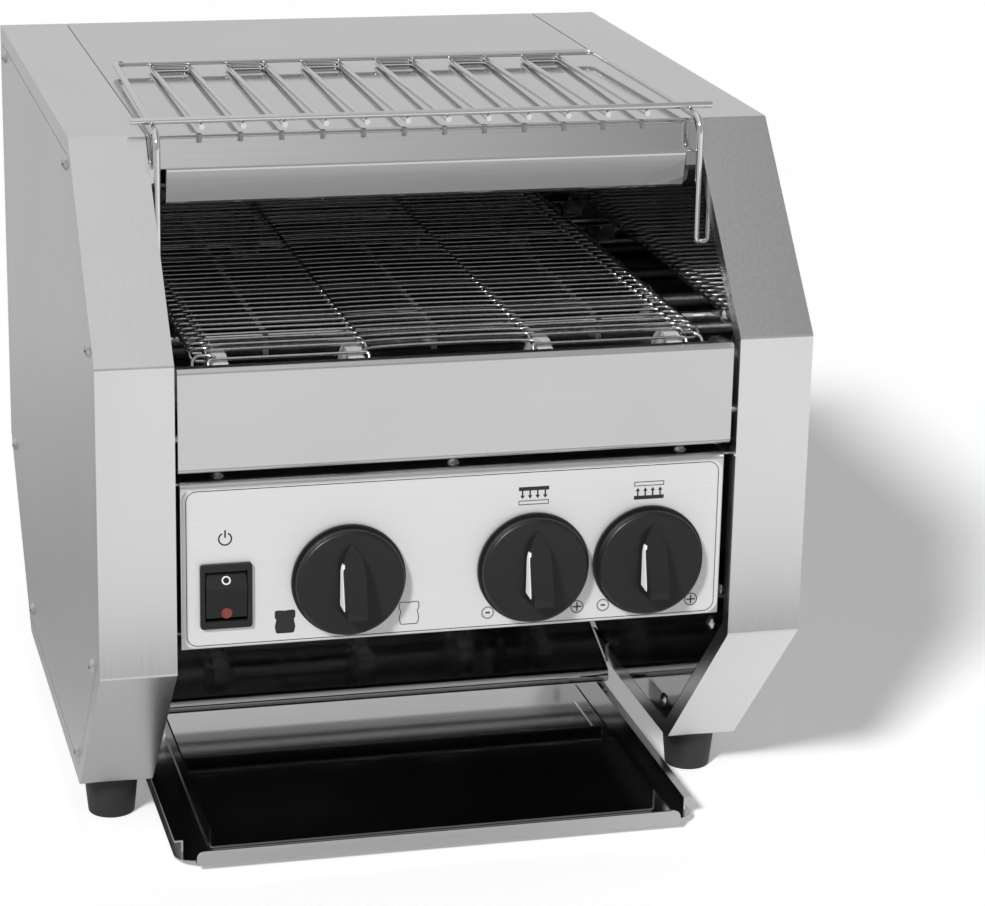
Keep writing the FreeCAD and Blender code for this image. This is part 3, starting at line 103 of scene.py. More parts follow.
class ControlSettings(bpy.types.PropertyGroup):
    plastic: FloatVectorProperty(name="Black plastic", description="Colour of the dials and the switch",
                                 subtype="COLOR", size=3, min=0, max=1, default=(0.014, 0.014, 0.0145))
    facia: FloatVectorProperty(name="Facia", description="Colour of the printed facia plate",
                               subtype="COLOR", size=3, min=0, max=1, default=(0.78, 0.78, 0.78))
    ink: FloatVectorProperty(name="Ink", description="Colour of the print on the facia",
                             subtype="COLOR", size=3, min=0, max=1, default=(0.012, 0.012, 0.012))
    ink_depth: FloatProperty(name="Ink depth", description="Thickness of the printed marks",
                             subtype="DISTANCE", default=0.06 * MM, min=0.01 * MM)


class StageSettings(bpy.types.PropertyGroup):
    sky: FloatProperty(name="Sky", description="Strength of the even light from all sides",
                       default=0.184, min=0)
    key: FloatProperty(name="Key", description="Strength of the lamp from the left front", default=3.0, min=0)
    glow: FloatProperty(name="Paper glow", description="What makes the lit paper pure white where it is seen",
                        default=0.24, min=0)


SETTINGS = {
    "toaster_case": CaseSettings,
    "toaster_belt": BeltSettings,
    "toaster_rack": RackSettings,
    "toaster_control": ControlSettings,
    "toaster_stage": StageSettings,
}


def settings(name):
    return getattr(bpy.context.scene, "toaster_" + name)


# Materials

def link(tree, source, output, target, socket):
    tree.links.new(source.outputs[output], target.inputs[socket])


def finish(name, colour, metallic, roughness, stretch=(1, 1, 1), scale=300.0, spread=0.06,
           bump=0.05, depth=0.00005, shade=0.05, coat=0.0, specular=0.5, blotch=9.0):
    """A material with fine grain in its gloss and surface, and slow changes of its colour."""
    material = bpy.data.materials.new(name)
    material.use_nodes = True
    tree = material.node_tree
    body = tree.nodes["Principled BSDF"]
    body.inputs["Metallic"].default_value = metallic
    body.inputs["Coat Weight"].default_value = coat
    body.inputs["Specular IOR Level"].default_value = specular
    place = tree.nodes.new("ShaderNodeTexCoord")
    turn = tree.nodes.new("ShaderNodeMapping")
    turn.inputs["Scale"].default_value = stretch
    link(tree, place, "Object", turn, "Vector")
    grain = tree.nodes.new("ShaderNodeTexNoise")
    grain.inputs["Scale"].default_value = scale
    grain.inputs["Detail"].default_value = 4.0
    link(tree, turn, "Vector", grain, "Vector")
    gloss = tree.nodes.new("ShaderNodeMapRange")
    gloss.inputs["To Min"].default_value = max(roughness - spread, 0.02)
    gloss.inputs["To Max"].default_value = roughness + spread
    link(tree, grain, "Fac", gloss, "Value")
    link(tree, gloss, "Result", body, "Roughness")
    relief = tree.nodes.new("ShaderNodeBump")
    relief.inputs["Strength"].default_value = bump
    relief.inputs["Distance"].default_value = depth
    link(tree, grain, "Fac", relief, "Height")
    link(tree, relief, "Normal", body, "Normal")
    cloud = tree.nodes.new("ShaderNodeTexNoise")
    cloud.inputs["Scale"].default_value = blotch
    cloud.inputs["Detail"].default_value = 2.0
    link(tree, place, "Object", cloud, "Vector")
    both = tree.nodes.new("ShaderNodeMath")
    both.operation = "MULTIPLY"
    link(tree, cloud, "Fac", both, 0)
    link(tree, grain, "Fac", both, 1)
    mix = tree.nodes.new("ShaderNodeMix")
    mix.data_type = "RGBA"
    mix.inputs["A"].default_value = [c * (1 - shade) for c in colour] + [1]
    mix.inputs["B"].default_value = [min(c * (1 + shade), 1) for c in colour] + [1]
    widen = tree.nodes.new("ShaderNodeMapRange")
    widen.inputs["From Min"].default_value = 0.12
    widen.inputs["From Max"].default_value = 0.4
    link(tree, both, "Value", widen, "Value")
    link(tree, widen, "Result", mix, "Factor")
    tree.links.new(mix.outputs["Result"], body.inputs["Base Color"])
    return material


def make_finishes():
    case, belt, rack, control = settings("case"), settings("belt"), settings("rack"), settings("control")
    along_x, along_z = (0.02, 1, 1), (1, 1, 0.02)
    return {
        "case": finish("satin_case_steel", case.colour, 1.0, 0.24, along_z, 700, 0.05, 0.04, shade=0.03),
        # The covers and the hood take the darker cover steel, which paints shade on them.
        "cover": finish("satin_cover_steel", case.cover, 1.0, 0.25, along_x, 700, 0.05, 0.04, shade=0.03),
        "hood": finish("polished_hood_steel", case.cover, 1.0, 0.08, along_x, 500, 0.02, 0.02, shade=0.03),
        "polished": finish("polished_inner_steel", case.polished, 1.0, 0.06, along_x, 250, 0.02, 0.015,
                           shade=0.04),
        "plated": finish("zinc_plated_steel", (0.42, 0.425, 0.43), 1.0, 0.38, scale=120, shade=0.12),
        "screw": finish("screw_steel", (0.62, 0.62, 0.62), 1.0, 0.16, scale=900, shade=0.05),
        "belt": finish("belt_wire_steel", belt.colour, 1.0, 0.22, scale=500, spread=0.08, shade=0.18),
        "rack": finish("rack_wire_chrome", rack.colour, 1.0, 0.10, scale=500, spread=0.03, shade=0.04),
        "turned": finish("turned_steel", (0.58, 0.58, 0.58), 1.0, 0.22, (0.05, 1, 1), 900, shade=0.06),
        "sprocket": finish("sprocket_steel", (0.86, 0.86, 0.86), 0.55, 0.40, scale=900, shade=0.05),
        "scorched": finish("scorched_steel", (0.10, 0.098, 0.095), 1.0, 0.34, along_x, 250, shade=0.2),
        "tray": finish("brushed_tray_steel", case.polished, 1.0, 0.15, along_x, 400, 0.03, 0.03, shade=0.04),
        "facia": finish("facia_aluminium", control.facia, 0.35, 0.42, along_x, 900, 0.05, 0.05, shade=0.02),
        "plastic": finish("black_plastic", control.plastic, 0.0, 0.36, scale=2500, spread=0.05, bump=0.2,
                          depth=0.00003, shade=0.1, specular=0.3),
        "white": finish("white_plastic", (0.86, 0.86, 0.85), 0.0, 0.3, scale=900, shade=0.02),
        "lens": finish("red_lens_plastic", (0.22, 0.045, 0.03), 0.0, 0.12, scale=600, shade=0.2, coat=0.6),
        "rubber": finish("foot_rubber", (0.018, 0.018, 0.0185), 0.0, 0.55, scale=1400, spread=0.08, bump=0.3,
                         depth=0.00005, shade=0.12),
        "ink": finish("facia_ink", control.ink, 0.0, 0.45, scale=900, shade=0.05),
        "grey_ink": finish("facia_grey_ink", (0.27, 0.27, 0.27), 0.0, 0.45, scale=900, shade=0.05),
        "white_ink": finish("switch_white_ink", (0.85, 0.85, 0.85), 0.0, 0.4, scale=900, shade=0.02),
        "ceramic": finish("heater_ceramic", (0.72, 0.70, 0.65), 0.0, 0.6, scale=700, shade=0.06),
        "sheath": finish("heater_sheath", (0.16, 0.155, 0.15), 1.0, 0.42, scale=400, shade=0.25),
        "bearing": finish("bearing_iron", (0.32, 0.31, 0.30), 1.0, 0.35, scale=600, shade=0.1),
        "casting": finish("motor_casting", (0.40, 0.40, 0.41), 1.0, 0.45, scale=500, bump=0.3, shade=0.1),
        "moulding": finish("control_moulding", (0.62, 0.59, 0.52), 0.0, 0.5, scale=700, shade=0.06),
    }


NODE_FINISHES = {
    "case": ("left_case_shell", "right_case_shell", "left_side_panel", "right_side_panel"),
    "cover": ("front_cover", "control_panel", "rear_panel"),
    "hood": ("top_cover",),
    "polished": ("left_inner_wall", "right_inner_wall", "toast_ramp", "ramp_brackets", "tray_rails",
                 "upper_reflector"),
    "scorched": ("lower_reflector", "crumb_deflector"),
    "tray": ("crumb_tray", "toast_tray"),
    "plated": ("control_chassis", "foot_screws"),
    "screw": ("side_panel_screws", "wall_screws", "rear_panel_screws", "front_cover_screws",
              "control_panel_screws"),
    "belt": ("conveyor_belt",),
    "rack": ("bread_rack",),
    "turned": ("front_shaft", "rear_shaft", "motor_shaft", "motor_sprocket", "drive_sprocket",
               "drive_chain", "speed_shaft", "upper_heat_shaft", "lower_heat_shaft", "belt_support_rails"),
    "sprocket": ("front_sprockets", "rear_sprockets"),
    "facia": ("facia_plate",),
    "plastic": ("switch_housing", "switch_rocker", "speed_knob", "upper_heat_knob", "lower_heat_knob",
                "speed_control", "cable_gland"),
    "white": ("speed_knob_marker", "upper_heat_knob_marker", "lower_heat_knob_marker", "terminal_block"),
    "lens": ("rocker_lens",),
    "rubber": ("feet",),
    "ceramic": ("heater_insulators",),
    "sheath": ("upper_heaters", "lower_heaters"),
    "bearing": ("shaft_bearings",),
    "moulding": ("heat_regulators", "thermal_cutout"),
    "casting": ("gear_motor",),
}

finishes = {}


def coat(piece, name):
    """Gives a piece one finish, in place of what it had."""
    piece.data.materials.clear()
    piece.data.materials.append(finishes[name])


# Mesh helpers

def piece_from(bm, name, finish_name, body, smooth=35.0):
    """Turns a bmesh into a finished piece that rides on a body."""
    bmesh.ops.recalc_face_normals(bm, faces=bm.faces)
    limit = math.radians(smooth)
    for face in bm.faces:
        face.smooth = True
    for edge in bm.edges:
        if len(edge.link_faces) == 2 and edge.calc_face_angle(0) > limit:
            edge.smooth = False
    mesh = bpy.data.meshes.new(name)
    bm.to_mesh(mesh)
    bm.free()
    piece = bpy.data.objects.new(name, mesh)
    bpy.context.scene.collection.objects.link(piece)
    coat(piece, finish_name)
    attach(piece, body)
    return piece


def rounded(points, radius, steps=5):
    """The same path with each inner corner turned through a few short steps."""
    path = [points[0]]
    radii = radius if isinstance(radius, (list, tuple)) else [radius] * len(points)
    for before, corner, after, bend in zip(points, points[1:], points[2:], radii[1:]):
        back, ahead = (before - corner), (after - corner)
        if bend <= 0 or back.length == 0 or ahead.length == 0:
            path.append(corner)
            continue
        half = back.angle(ahead) / 2
        run = min(bend / math.tan(half), back.length * 0.49, ahead.length * 0.49)
        start, stop = corner + back.normalized() * run, corner + ahead.normalized() * run
        for i in range(steps + 1):
            t = i / steps
            path.append(start * (1 - t) ** 2 + corner * (2 * t * (1 - t)) + stop * t ** 2)
    path.append(points[-1])
    return path


def add_mesh(bm, part):
    """Adds a small bmesh to a large one and frees it."""
    mesh = bpy.data.meshes.new("part")
    part.to_mesh(mesh)
    part.free()
    bm.from_mesh(mesh)
    bpy.data.meshes.remove(mesh)


def add_wire(whole, path, radius, sides):
    """Adds a round wire along a path by pushing a ring from point to point."""
    bm = bmesh.new()
    heading = (path[1] - path[0]).normalized()
    ring = bmesh.ops.create_circle(bm, segments=sides, radius=radius,
                                   matrix=Matrix.Translation(path[0]) @ AXIS_Z.rotation_difference(
                                       heading).to_matrix().to_4x4())["verts"]
    edges = list(bm.edges)
    bmesh.ops.edgeloop_fill(bm, edges=edges)
    for i in range(1, len(path)):
        way = (path[i] - path[i - 1]).normalized()
        if i < len(path) - 1:
            way = (way + (path[i + 1] - path[i]).normalized()).normalized()
        pushed = bmesh.ops.extrude_edge_only(bm, edges=edges)["geom"]
        ring = [g for g in pushed if isinstance(g, bmesh.types.BMVert)]
        fresh = set(ring)
        edges = [g for g in pushed if isinstance(g, bmesh.types.BMEdge)
                 and g.verts[0] in fresh and g.verts[1] in fresh]
        bmesh.ops.translate(bm, verts=ring, vec=path[i] - path[i - 1])
        turn = heading.rotation_difference(way).to_matrix()
        bmesh.ops.rotate(bm, verts=ring, cent=path[i], matrix=turn)
        heading = way
    bmesh.ops.edgeloop_fill(bm, edges=edges)
    add_mesh(whole, bm)


def flat_face(bm, corners, place):
    """One face through corners drawn on the facia, counted from a place on it."""
    face = bm.faces.new([bm.verts.new(place + Vector((x, 0, z)) * MM) for x, z in corners])
    face.normal_update()
    return face


def slice_face(bm, place):
    """A flat slice of bread: a low round crown, a waist below it and a body with round corners."""
    half = [(0, -6.2), (4.6, -6.2), (5.3, -2.6), (4.5, 1.2), (5.3, 2.4), (5.3, 6.2), (2.6, 6.2), (0, 5.9)]
    bends = [0, 1.3, 3.0, 0.25, 0.8, 1.5, 1.2]
    outline = [Vector((x, 0, z)) for x, z in half + [(-x, z) for x, z in half[-2::-1]]]
    path = rounded(outline, bends + [2.0] + bends[::-1], 5)[:-1]
    return flat_face(bm, [(p.x, p.z) for p in path], place)


def push_out(bm, faces, way):
    """Closes flat marks by a copy that is pushed away from them."""
    pushed = bmesh.ops.extrude_face_region(bm, geom=faces, use_keep_orig=True)["geom"]
    verts = [g for g in pushed if isinstance(g, bmesh.types.BMVert)]
    bmesh.ops.translate(bm, verts=verts, vec=way)


def thicken(bm, faces, depth):
    """Gives flat marks on the facia the ink's depth."""
    bmesh.ops.recalc_face_normals(bm, faces=faces)
    push_out(bm, faces, Vector((0, -depth, 0)))


def rounded_corners(bm, face, radius, segments=6):
    """Rounds the corners of one flat face and returns the face."""
    bmesh.ops.bevel(bm, geom=list(face.verts), offset=radius * MM, offset_type="OFFSET", affect="VERTICES",
                    segments=segments, profile=0.5, material=-1, clamp_overlap=True)
    return max(bm.faces, key=lambda f: (f.calc_area(), f.index)) if not face.is_valid else face


def stroke_ring(bm, face, width):
    """Keeps only a line of a set width along the outline of a flat face."""
    result = bmesh.ops.inset_region(bm, faces=[face], thickness=width * MM, use_boundary=True,
                                    use_even_offset=True)["faces"]
    bmesh.ops.delete(bm, geom=[face], context="FACES")
    return result


def soften(name, width, segments=2, angle=40.0):
    """Joins a CAD node's loose triangles and softens its sharp edges, leaving its own mesh as it is."""
    node = nodes[name]
    for polygon in node.data.polygons:
        polygon.use_smooth = True
    weld = node.modifiers.new("weld", "WELD")
    weld.merge_threshold = 0.000002
    if width > 0:
        bevel = node.modifiers.new("edges", "BEVEL")
        bevel.width = width
        bevel.segments = segments
        bevel.limit_method = "ANGLE"
        bevel.angle_limit = math.radians(angle)
        bevel.harden_normals = False
    normals = node.modifiers.new("normals", "WEIGHTED_NORMAL")
    normals.keep_sharp = True


# Operators

class TOASTER_OT_finishes(bpy.types.Operator):
    """Give every piece of the frame its material"""
    bl_idname = "toaster.finishes"
    bl_label = "Finishes"

    def execute(self, context):
        finishes.update(make_finishes())
        for name, members in NODE_FINISHES.items():
            for member in members:
                coat(nodes[member], name)
        edge = settings("case").edge
        for member in ("speed_knob", "upper_heat_knob", "lower_heat_knob"):
            soften(member, 0.7 * MM, 3)
            soften(member + "_marker", 0.25 * MM, 2)
        for member in ("switch_housing", "switch_rocker"):
            soften(member, 0.35 * MM, 3)
        soften("feet", 0.8 * MM, 3)
        for member in NODE_FINISHES["case"] + ("front_cover", "top_cover", "control_panel", "crumb_tray",
                                               "toast_tray", "toast_ramp"):
            soften(member, edge)
        return {"FINISHED"}


BELT_FRONT_Y = 36.0
BELT_TOP_Z = 255.0
BELT_WIRE_SIDES = 7
BELT_BEND_STEPS = 2


def belt_place(distance, x, lift):
    """A place on the belt's loop, a lift outside the line through its wires."""
    belt = settings("belt")
    run = belt.rows * belt.pitch
    radius = belt.teeth * belt.pitch / (2 * math.pi)
    half_turn = math.pi * radius
    front = at(0, BELT_FRONT_Y, BELT_TOP_Z)
    axis_z = front.z - radius
    distance %= 2 * (run + half_turn)
    if distance < run:
        return Vector((x, front.y + distance, axis_z + radius + lift))
    distance -= run
    if distance < half_turn:
        angle = distance / radius
        return Vector((x, front.y + run + (radius + lift) * math.sin(angle),
                       axis_z + (radius + lift) * math.cos(angle)))
    distance -= half_turn
    if distance < run:
        return Vector((x, front.y + run - distance, axis_z - radius - lift))
    angle = (distance - run) / radius
    return Vector((x, front.y - (radius + lift) * math.sin(angle),
                   axis_z - (radius + lift) * math.cos(angle)))


def belt_row():
    """The wires of one row, each with its bend in mm. A place is (x in mm, pitches back, wire radii up)."""
    lane = [
        (-123.8, -0.85, -1.6), (-124.3, -0.40, -1.4), (-124.0, -0.10, 0.1), (-121.5, 0.0, 0.0),
        (-46.0, 0.0, 0.0), (-44.0, 0.0, 0.2), (-42.6, -0.10, 0.0), (-42.6, -0.45, -1.6),
        (-43.7, -0.80, -2.0), (-43.9, -1.10, -1.7),
    ]
    bow = [(-46.0, 0.0, 0.9), (-44.6, 0.16, 0.7), (-42.3, 0.30, 0.0), (-36.0, 0.38, 0.0),
           (-25.0, 0.44, 0.0), (-12.0, 0.47, 0.0)]
    loop = [
        (-120.5, 0.0, 0.9), (-122.0, 0.22, 0.7), (-124.4, 0.30, 0.3), (-129.5, 0.30, 0.3),
        (-132.4, -0.10, 0.0), (-132.4, -0.62, -1.2), (-130.6, -0.86, -2.0), (-125.6, -0.86, -2.2),
    ]

    def other_side(places):
        return [(-x, back, lift) for x, back, lift in places[::-1]]

    return [(lane, 1.2), (other_side(lane), 1.2), (bow + other_side(bow), 4.0), (loop, 3.0),
            (other_side(loop), 3.0)]


class TOASTER_OT_belt(bpy.types.Operator):
    """Weave the wire belt round the two rollers"""
    bl_idname = "toaster.belt"
    bl_label = "Belt"

    def execute(self, context):
        belt = settings("belt")
        bm = bmesh.new()
        for i in range(2 * belt.rows + belt.teeth):
            for wire, bend in belt_row():
                points = [belt_place((i + back) * belt.pitch, x * MM, lift * belt.wire)
                          for x, back, lift in wire]
                path = rounded(points, bend * MM, BELT_BEND_STEPS)
                add_wire(bm, path, belt.wire, BELT_WIRE_SIDES)
        wires = piece_from(bm, "belt_wires", "belt", "frame", 80)
        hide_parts("conveyor_belt")
        return {"FINISHED"}


RACK_PIVOT = (70.0, 292.0)
RACK_FRONT_Y = 86.0
RACK_BACK_Y = 258.0
RACK_HOOK_X = 147.4
RACK_LEG_X = 142.0
RACK_BACK_X = 137.4
RACK_ROD_X = 153.0
RACK_BAR_X = 117.2
COVER_TOP_Z = 354.0
RACK_GAP = 0.3
RACK_RISE = 2.4
BAR_PAST_ROD = 2.8
BAR_PAST_FRAME = 3.0
RACK_BENDS = [3.0 * MM, 9.0 * MM, 5.0 * MM]
BAR_BEND = 4.0 * MM
RACK_BEND_STEPS = 8
RACK_FRAME_SIDES = 16
RACK_BAR_SIDES = 14


class TOASTER_OT_rack(bpy.types.Operator):
    """Bend and weld the bread rack's wires"""
    bl_idname = "toaster.rack"
    bl_label = "Bread rack"

    def execute(self, context):
        rack = settings("rack")
        frame_mm, bar_mm = rack.frame_wire / MM, rack.bar_wire / MM
        back_z = COVER_TOP_Z + RACK_GAP + 2 * bar_mm + frame_mm
        rod_z = back_z + RACK_RISE
        bm = bmesh.new()
        half = [at(-RACK_HOOK_X, *RACK_PIVOT), at(-RACK_LEG_X, *RACK_PIVOT),
                at(-RACK_LEG_X, RACK_PIVOT[0], rod_z - 2 * frame_mm), at(-RACK_BACK_X, RACK_BACK_Y, back_z)]
        route = half + [Vector((-p.x, p.y, p.z)) for p in half[::-1]]
        path = rounded(route, [0] + RACK_BENDS + RACK_BENDS[::-1] + [0], RACK_BEND_STEPS)
        add_wire(bm, path, rack.frame_wire, RACK_FRAME_SIDES)
        rod = [at(-RACK_ROD_X, RACK_FRONT_Y, rod_z), at(RACK_ROD_X, RACK_FRONT_Y, rod_z)]
        add_wire(bm, rod, rack.frame_wire, RACK_FRAME_SIDES)
        pitch = 2 * RACK_BAR_X / (rack.bars - 1)
        under = frame_mm + bar_mm
        slope = RACK_RISE / (RACK_BACK_Y - RACK_FRONT_Y)
        front_end = (RACK_FRONT_Y - BAR_PAST_ROD, rod_z - under + BAR_PAST_ROD * slope)
        back_end = (RACK_BACK_Y + BAR_PAST_FRAME, back_z - under - BAR_PAST_FRAME * slope)
        for i in range(rack.bars // 2):
            x0 = -RACK_BAR_X + 2 * i * pitch
            x1 = x0 + pitch
            ends = [at(x0, *front_end), at(x0, *back_end), at(x1, *back_end), at(x1, *front_end)]
            path = rounded(ends, [0, BAR_BEND, BAR_BEND, 0], RACK_BEND_STEPS)
            add_wire(bm, path, rack.bar_wire, RACK_BAR_SIDES)
        wires = piece_from(bm, "rack_wires", "rack", "rack", 60)
        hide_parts("bread_rack")
        return {"FINISHED"}


# Marks on the facia, in millimetres

FACIA_Y = 8.0
INK_LINE = 0.4
MARK_CLEARANCE = 0.01

BORDER_HALF_WIDE = 139.0
BORDER_HALF_TALL = 41.1
BORDER_Z = 149.5
BORDER_CORNER = 5.6

DARK_TOAST_PLACE = (-88.8, 118.6)
PALE_TOAST_PLACE = (-24.5, 118.7)

SIGN_RADIUS = 3.5
SIGN_SIDES = 36
PLUS_RING_LINE = 0.5
PLUS_HALF_WIDE = 2.4
PLUS_HALF_TALL = 0.36
LESS_RING_LINE = 0.85
LESS_HALF_WIDE = 1.2
LESS_HALF_TALL = 0.45

HEAT_HALF_WIDE = 8.0
SOLID_BAR_HALF_TALL = 1.0
SOLID_BAR_AWAY = 3.8
OPEN_BAR_HALF_TALL = 1.2
OPEN_BAR_AWAY = 3.6
ARROWS = 4
ARROW_PITCH = 4.0
ARROW_STEM = 0.4
ARROW_HEAD = 1.2
ARROW_NECK = -0.3
ARROW_TIP = 1.6

POWER_PLACE = (-119.2, 164.8)
POWER_RADIUS = 3.6
POWER_SIDES = 40
POWER_LINE = 0.8
POWER_GAP = 1.3
POWER_BAR_HALF_TALL = 2.0
POWER_BAR_UP = 2.6


def on_facia(x, z):
    return at(x, FACIA_Y, z)


def bar_face(bm, half_wide, half_tall, middle, place):
    return flat_face(bm, [(-half_wide, middle - half_tall), (half_wide, middle - half_tall),
                          (half_wide, middle + half_tall), (-half_wide, middle + half_tall)], place)


def disc_face(bm, radius, sides, turn):
    disc = bmesh.ops.create_circle(bm, cap_ends=True, segments=sides, radius=radius * MM, matrix=turn)
    return disc["verts"][0].link_faces[0]


def disc_ring(bm, radius, sides, width, place):
    """A ring drawn on the facia round a place."""
    return stroke_ring(bm, disc_face(bm, radius, sides, Matrix.Translation(place) @ TO_FRONT), width)


def print_faces(bm, name, faces, ink="ink"):
    """Gives flat marks the ink's depth and makes them one piece."""
    thicken(bm, faces, settings("control").ink_depth)
    piece_from(bm, name, ink, "frame")


def print_border():
    bm = bmesh.new()
    box = bar_face(bm, BORDER_HALF_WIDE, BORDER_HALF_TALL, BORDER_Z, on_facia(0, 0))
    border = rounded_corners(bm, box, BORDER_CORNER, 8)
    print_faces(bm, "facia_border", stroke_ring(bm, border, INK_LINE))


def print_toast_marks():
    bm = bmesh.new()
    print_faces(bm, "dark_toast_mark", [slice_face(bm, on_facia(*DARK_TOAST_PLACE))])
    bm = bmesh.new()
    pale = slice_face(bm, on_facia(*PALE_TOAST_PLACE))
    print_faces(bm, "pale_toast_mark", stroke_ring(bm, pale, INK_LINE))


def print_plus(name, x, z):
    """A plus in a ring: one long bar, and a short one above and below it."""
    bm = bmesh.new()
    place = on_facia(x, z)
    marks = disc_ring(bm, SIGN_RADIUS, SIGN_SIDES, PLUS_RING_LINE, place)
    marks.append(bar_face(bm, PLUS_HALF_WIDE, PLUS_HALF_TALL, 0, place))
    short = (PLUS_HALF_WIDE - PLUS_HALF_TALL - MARK_CLEARANCE) / 2
    for side in (-1, 1):
        marks.append(bar_face(bm, PLUS_HALF_TALL, short, side * (PLUS_HALF_WIDE - short), place))
    print_faces(bm, name, marks)


def print_less(name, x, z):
    """A black bar in a grey ring."""
    place = on_facia(x, z)
    bm = bmesh.new()
    ring = disc_ring(bm, SIGN_RADIUS, SIGN_SIDES, LESS_RING_LINE, place)
    print_faces(bm, name + "_ring", ring, "grey_ink")
    bm = bmesh.new()
    print_faces(bm, name, [bar_face(bm, LESS_HALF_WIDE, LESS_HALF_TALL, 0, place)])


def arrow_face(bm, x, tail, neck, tip, place):
    return flat_face(bm, [(x - ARROW_STEM, tail), (x + ARROW_STEM, tail), (x + ARROW_STEM, neck),
                          (x + ARROW_HEAD, neck), (x, tip), (x - ARROW_HEAD, neck),
                          (x - ARROW_STEM, neck)], place)


def print_heat(name, x, z, way):
    """A solid bar with arrows from it to an open bar, upwards or downwards."""
    bm = bmesh.new()
    place = on_facia(x, z)
    solid_z = -way * SOLID_BAR_AWAY
    marks = [bar_face(bm, HEAT_HALF_WIDE, SOLID_BAR_HALF_TALL, solid_z, place)]
    open_bar = bar_face(bm, HEAT_HALF_WIDE, OPEN_BAR_HALF_TALL, way * OPEN_BAR_AWAY, place)
    marks += stroke_ring(bm, open_bar, INK_LINE)
    tail = solid_z + way * (SOLID_BAR_HALF_TALL + MARK_CLEARANCE)
    for k in range(ARROWS):
        arrow_x = (k - (ARROWS - 1) / 2) * ARROW_PITCH
        marks.append(arrow_face(bm, arrow_x, tail, way * ARROW_NECK, way * ARROW_TIP, place))
    print_faces(bm, name, marks)


def print_power():
    """A ring that is open at its top, with a bar through the gap."""
    bm = bmesh.new()
    place = on_facia(*POWER_PLACE)
    ring = disc_ring(bm, POWER_RADIUS, POWER_SIDES, POWER_LINE, place)
    middles = {face: face.calc_center_median() - place for face in ring}
    gap = [face for face, middle in middles.items() if abs(middle.x) < POWER_GAP * MM and middle.z > 0]
    bmesh.ops.delete(bm, geom=gap, context="FACES")
    ring = [face for face in ring if face.is_valid]
    bar = bar_face(bm, INK_LINE, POWER_BAR_HALF_TALL, POWER_BAR_UP, place)
    print_faces(bm, "power_mark", ring + [bar])


class TOASTER_OT_facia_print(bpy.types.Operator):
    """Print the plain marks on the facia"""
    bl_idname = "toaster.facia_print"
    bl_label = "Facia print"

    def execute(self, context):
        print_border()
        print_toast_marks()
        print_less("upper_less_mark", 17.0, 115.8)
        print_plus("upper_more_mark", 64.7, 115.7)
        print_less("lower_less_mark", 78.7, 115.6)
        print_plus("lower_more_mark", 126.4, 115.5)
        print_heat("upper_heat_mark", 40.1, 177.8, -1)
        print_heat("lower_heat_mark", 101.5, 177.0, 1)
        print_power()
        return {"FINISHED"}


# The rocker's pressed upper half, from near the pin to its top

ROCKER_LOW = Vector((-119.0, 4.1, 139.2))
ROCKER_HIGH = Vector((-119.0, 9.2, 147.7))
ROCKER_RING_SHARE = 0.48
ROCKER_RING_RADIUS = 2.3
ROCKER_RING_SIDES = 32
ROCKER_RING_LINE = 0.75
ROCKER_RING_DEPTH = 0.08 * MM


class TOASTER_OT_switch_ring(bpy.types.Operator):
    """Print the off ring on the rocker"""
    bl_idname = "toaster.switch_ring"
    bl_label = "Rocker ring"

    def execute(self, context):
        bm = bmesh.new()
        middle = ROCKER_LOW.lerp(ROCKER_HIGH, ROCKER_RING_SHARE)
        slope = math.atan2(ROCKER_HIGH.y - ROCKER_LOW.y, ROCKER_HIGH.z - ROCKER_LOW.z)
        turn = Matrix.Translation(at(*middle)) @ Matrix.Rotation(-slope, 4, "X") @ TO_FRONT
        disc = disc_face(bm, ROCKER_RING_RADIUS, ROCKER_RING_SIDES, turn)
        ring = stroke_ring(bm, disc, ROCKER_RING_LINE)
        bmesh.ops.recalc_face_normals(bm, faces=ring)
        out = Vector((0, -math.cos(slope), math.sin(slope)))
        push_out(bm, ring, out * ROCKER_RING_DEPTH)
        piece_from(bm, "rocker_ring", "white_ink", "rocker")
        return {"FINISHED"}


# The stage. Floor levels are (y in metres, level): how light steel sees the paper to be there, which is
# painted light and painted shade in the paper's reflections, in bands round the toaster.

CAMERA_PLACE = (-362.44, -1450.87, 675.47)
CAMERA_YAW = 14.609
CAMERA_PITCH = 17.441
CAMERA_ROLL = -1.194
SENSOR_WIDTH = 36.0
CAMERA_LENS = 3122.0 * SENSOR_WIDTH / 985.0
KEY_WAY = Vector((0.85, 1.05, -1.0))
KEY_ANGLE = 9.0
FLOOR_SIZE = 12.0
PAPER_LEVEL = 0.85
# Painted light and painted shade: levels of the paper that only shiny surfaces see, darker and lighter bands
# in front of, beside and behind the toaster.
LEFT_PAINTED_REFLECTION_LEVELS = ((-0.585, 1.0), (-0.54, 0.42), (-0.41, 0.38), (-0.36, 0.80), (-0.24, 0.80),
               (-0.15, 0.52), (0.30, 0.36), (0.90, 0.54))
RIGHT_PAINTED_REFLECTION_LEVELS = ((-0.585, 1.0), (-0.54, 0.38), (-0.41, 0.32), (-0.36, 0.85), (-0.24, 0.85),
                (-0.15, 0.92), (0.30, 0.50), (0.90, 0.60))
BESIDE_PAINTED_REFLECTION_LEVELS = ((-0.30, 0.62), (0.10, 0.34), (0.30, 0.36), (0.90, 0.54))
FRONT_WALL_LEVEL = 0.48
BACK_WALL_LEVEL = 0.67
ABOVE_LEFT_LEVEL = 0.86
ABOVE_RIGHT_LEVEL = 0.21


def sum_of(tree, operation, first, second):
    """The output of a math node whose inputs are numbers or other outputs."""
    node = tree.nodes.new("ShaderNodeMath")
    node.operation = operation
    for socket, value in zip(node.inputs, (first, second)):
        if isinstance(value, (int, float)):
            socket.default_value = value
        else:
            tree.links.new(value, socket)
    return node.outputs["Value"]


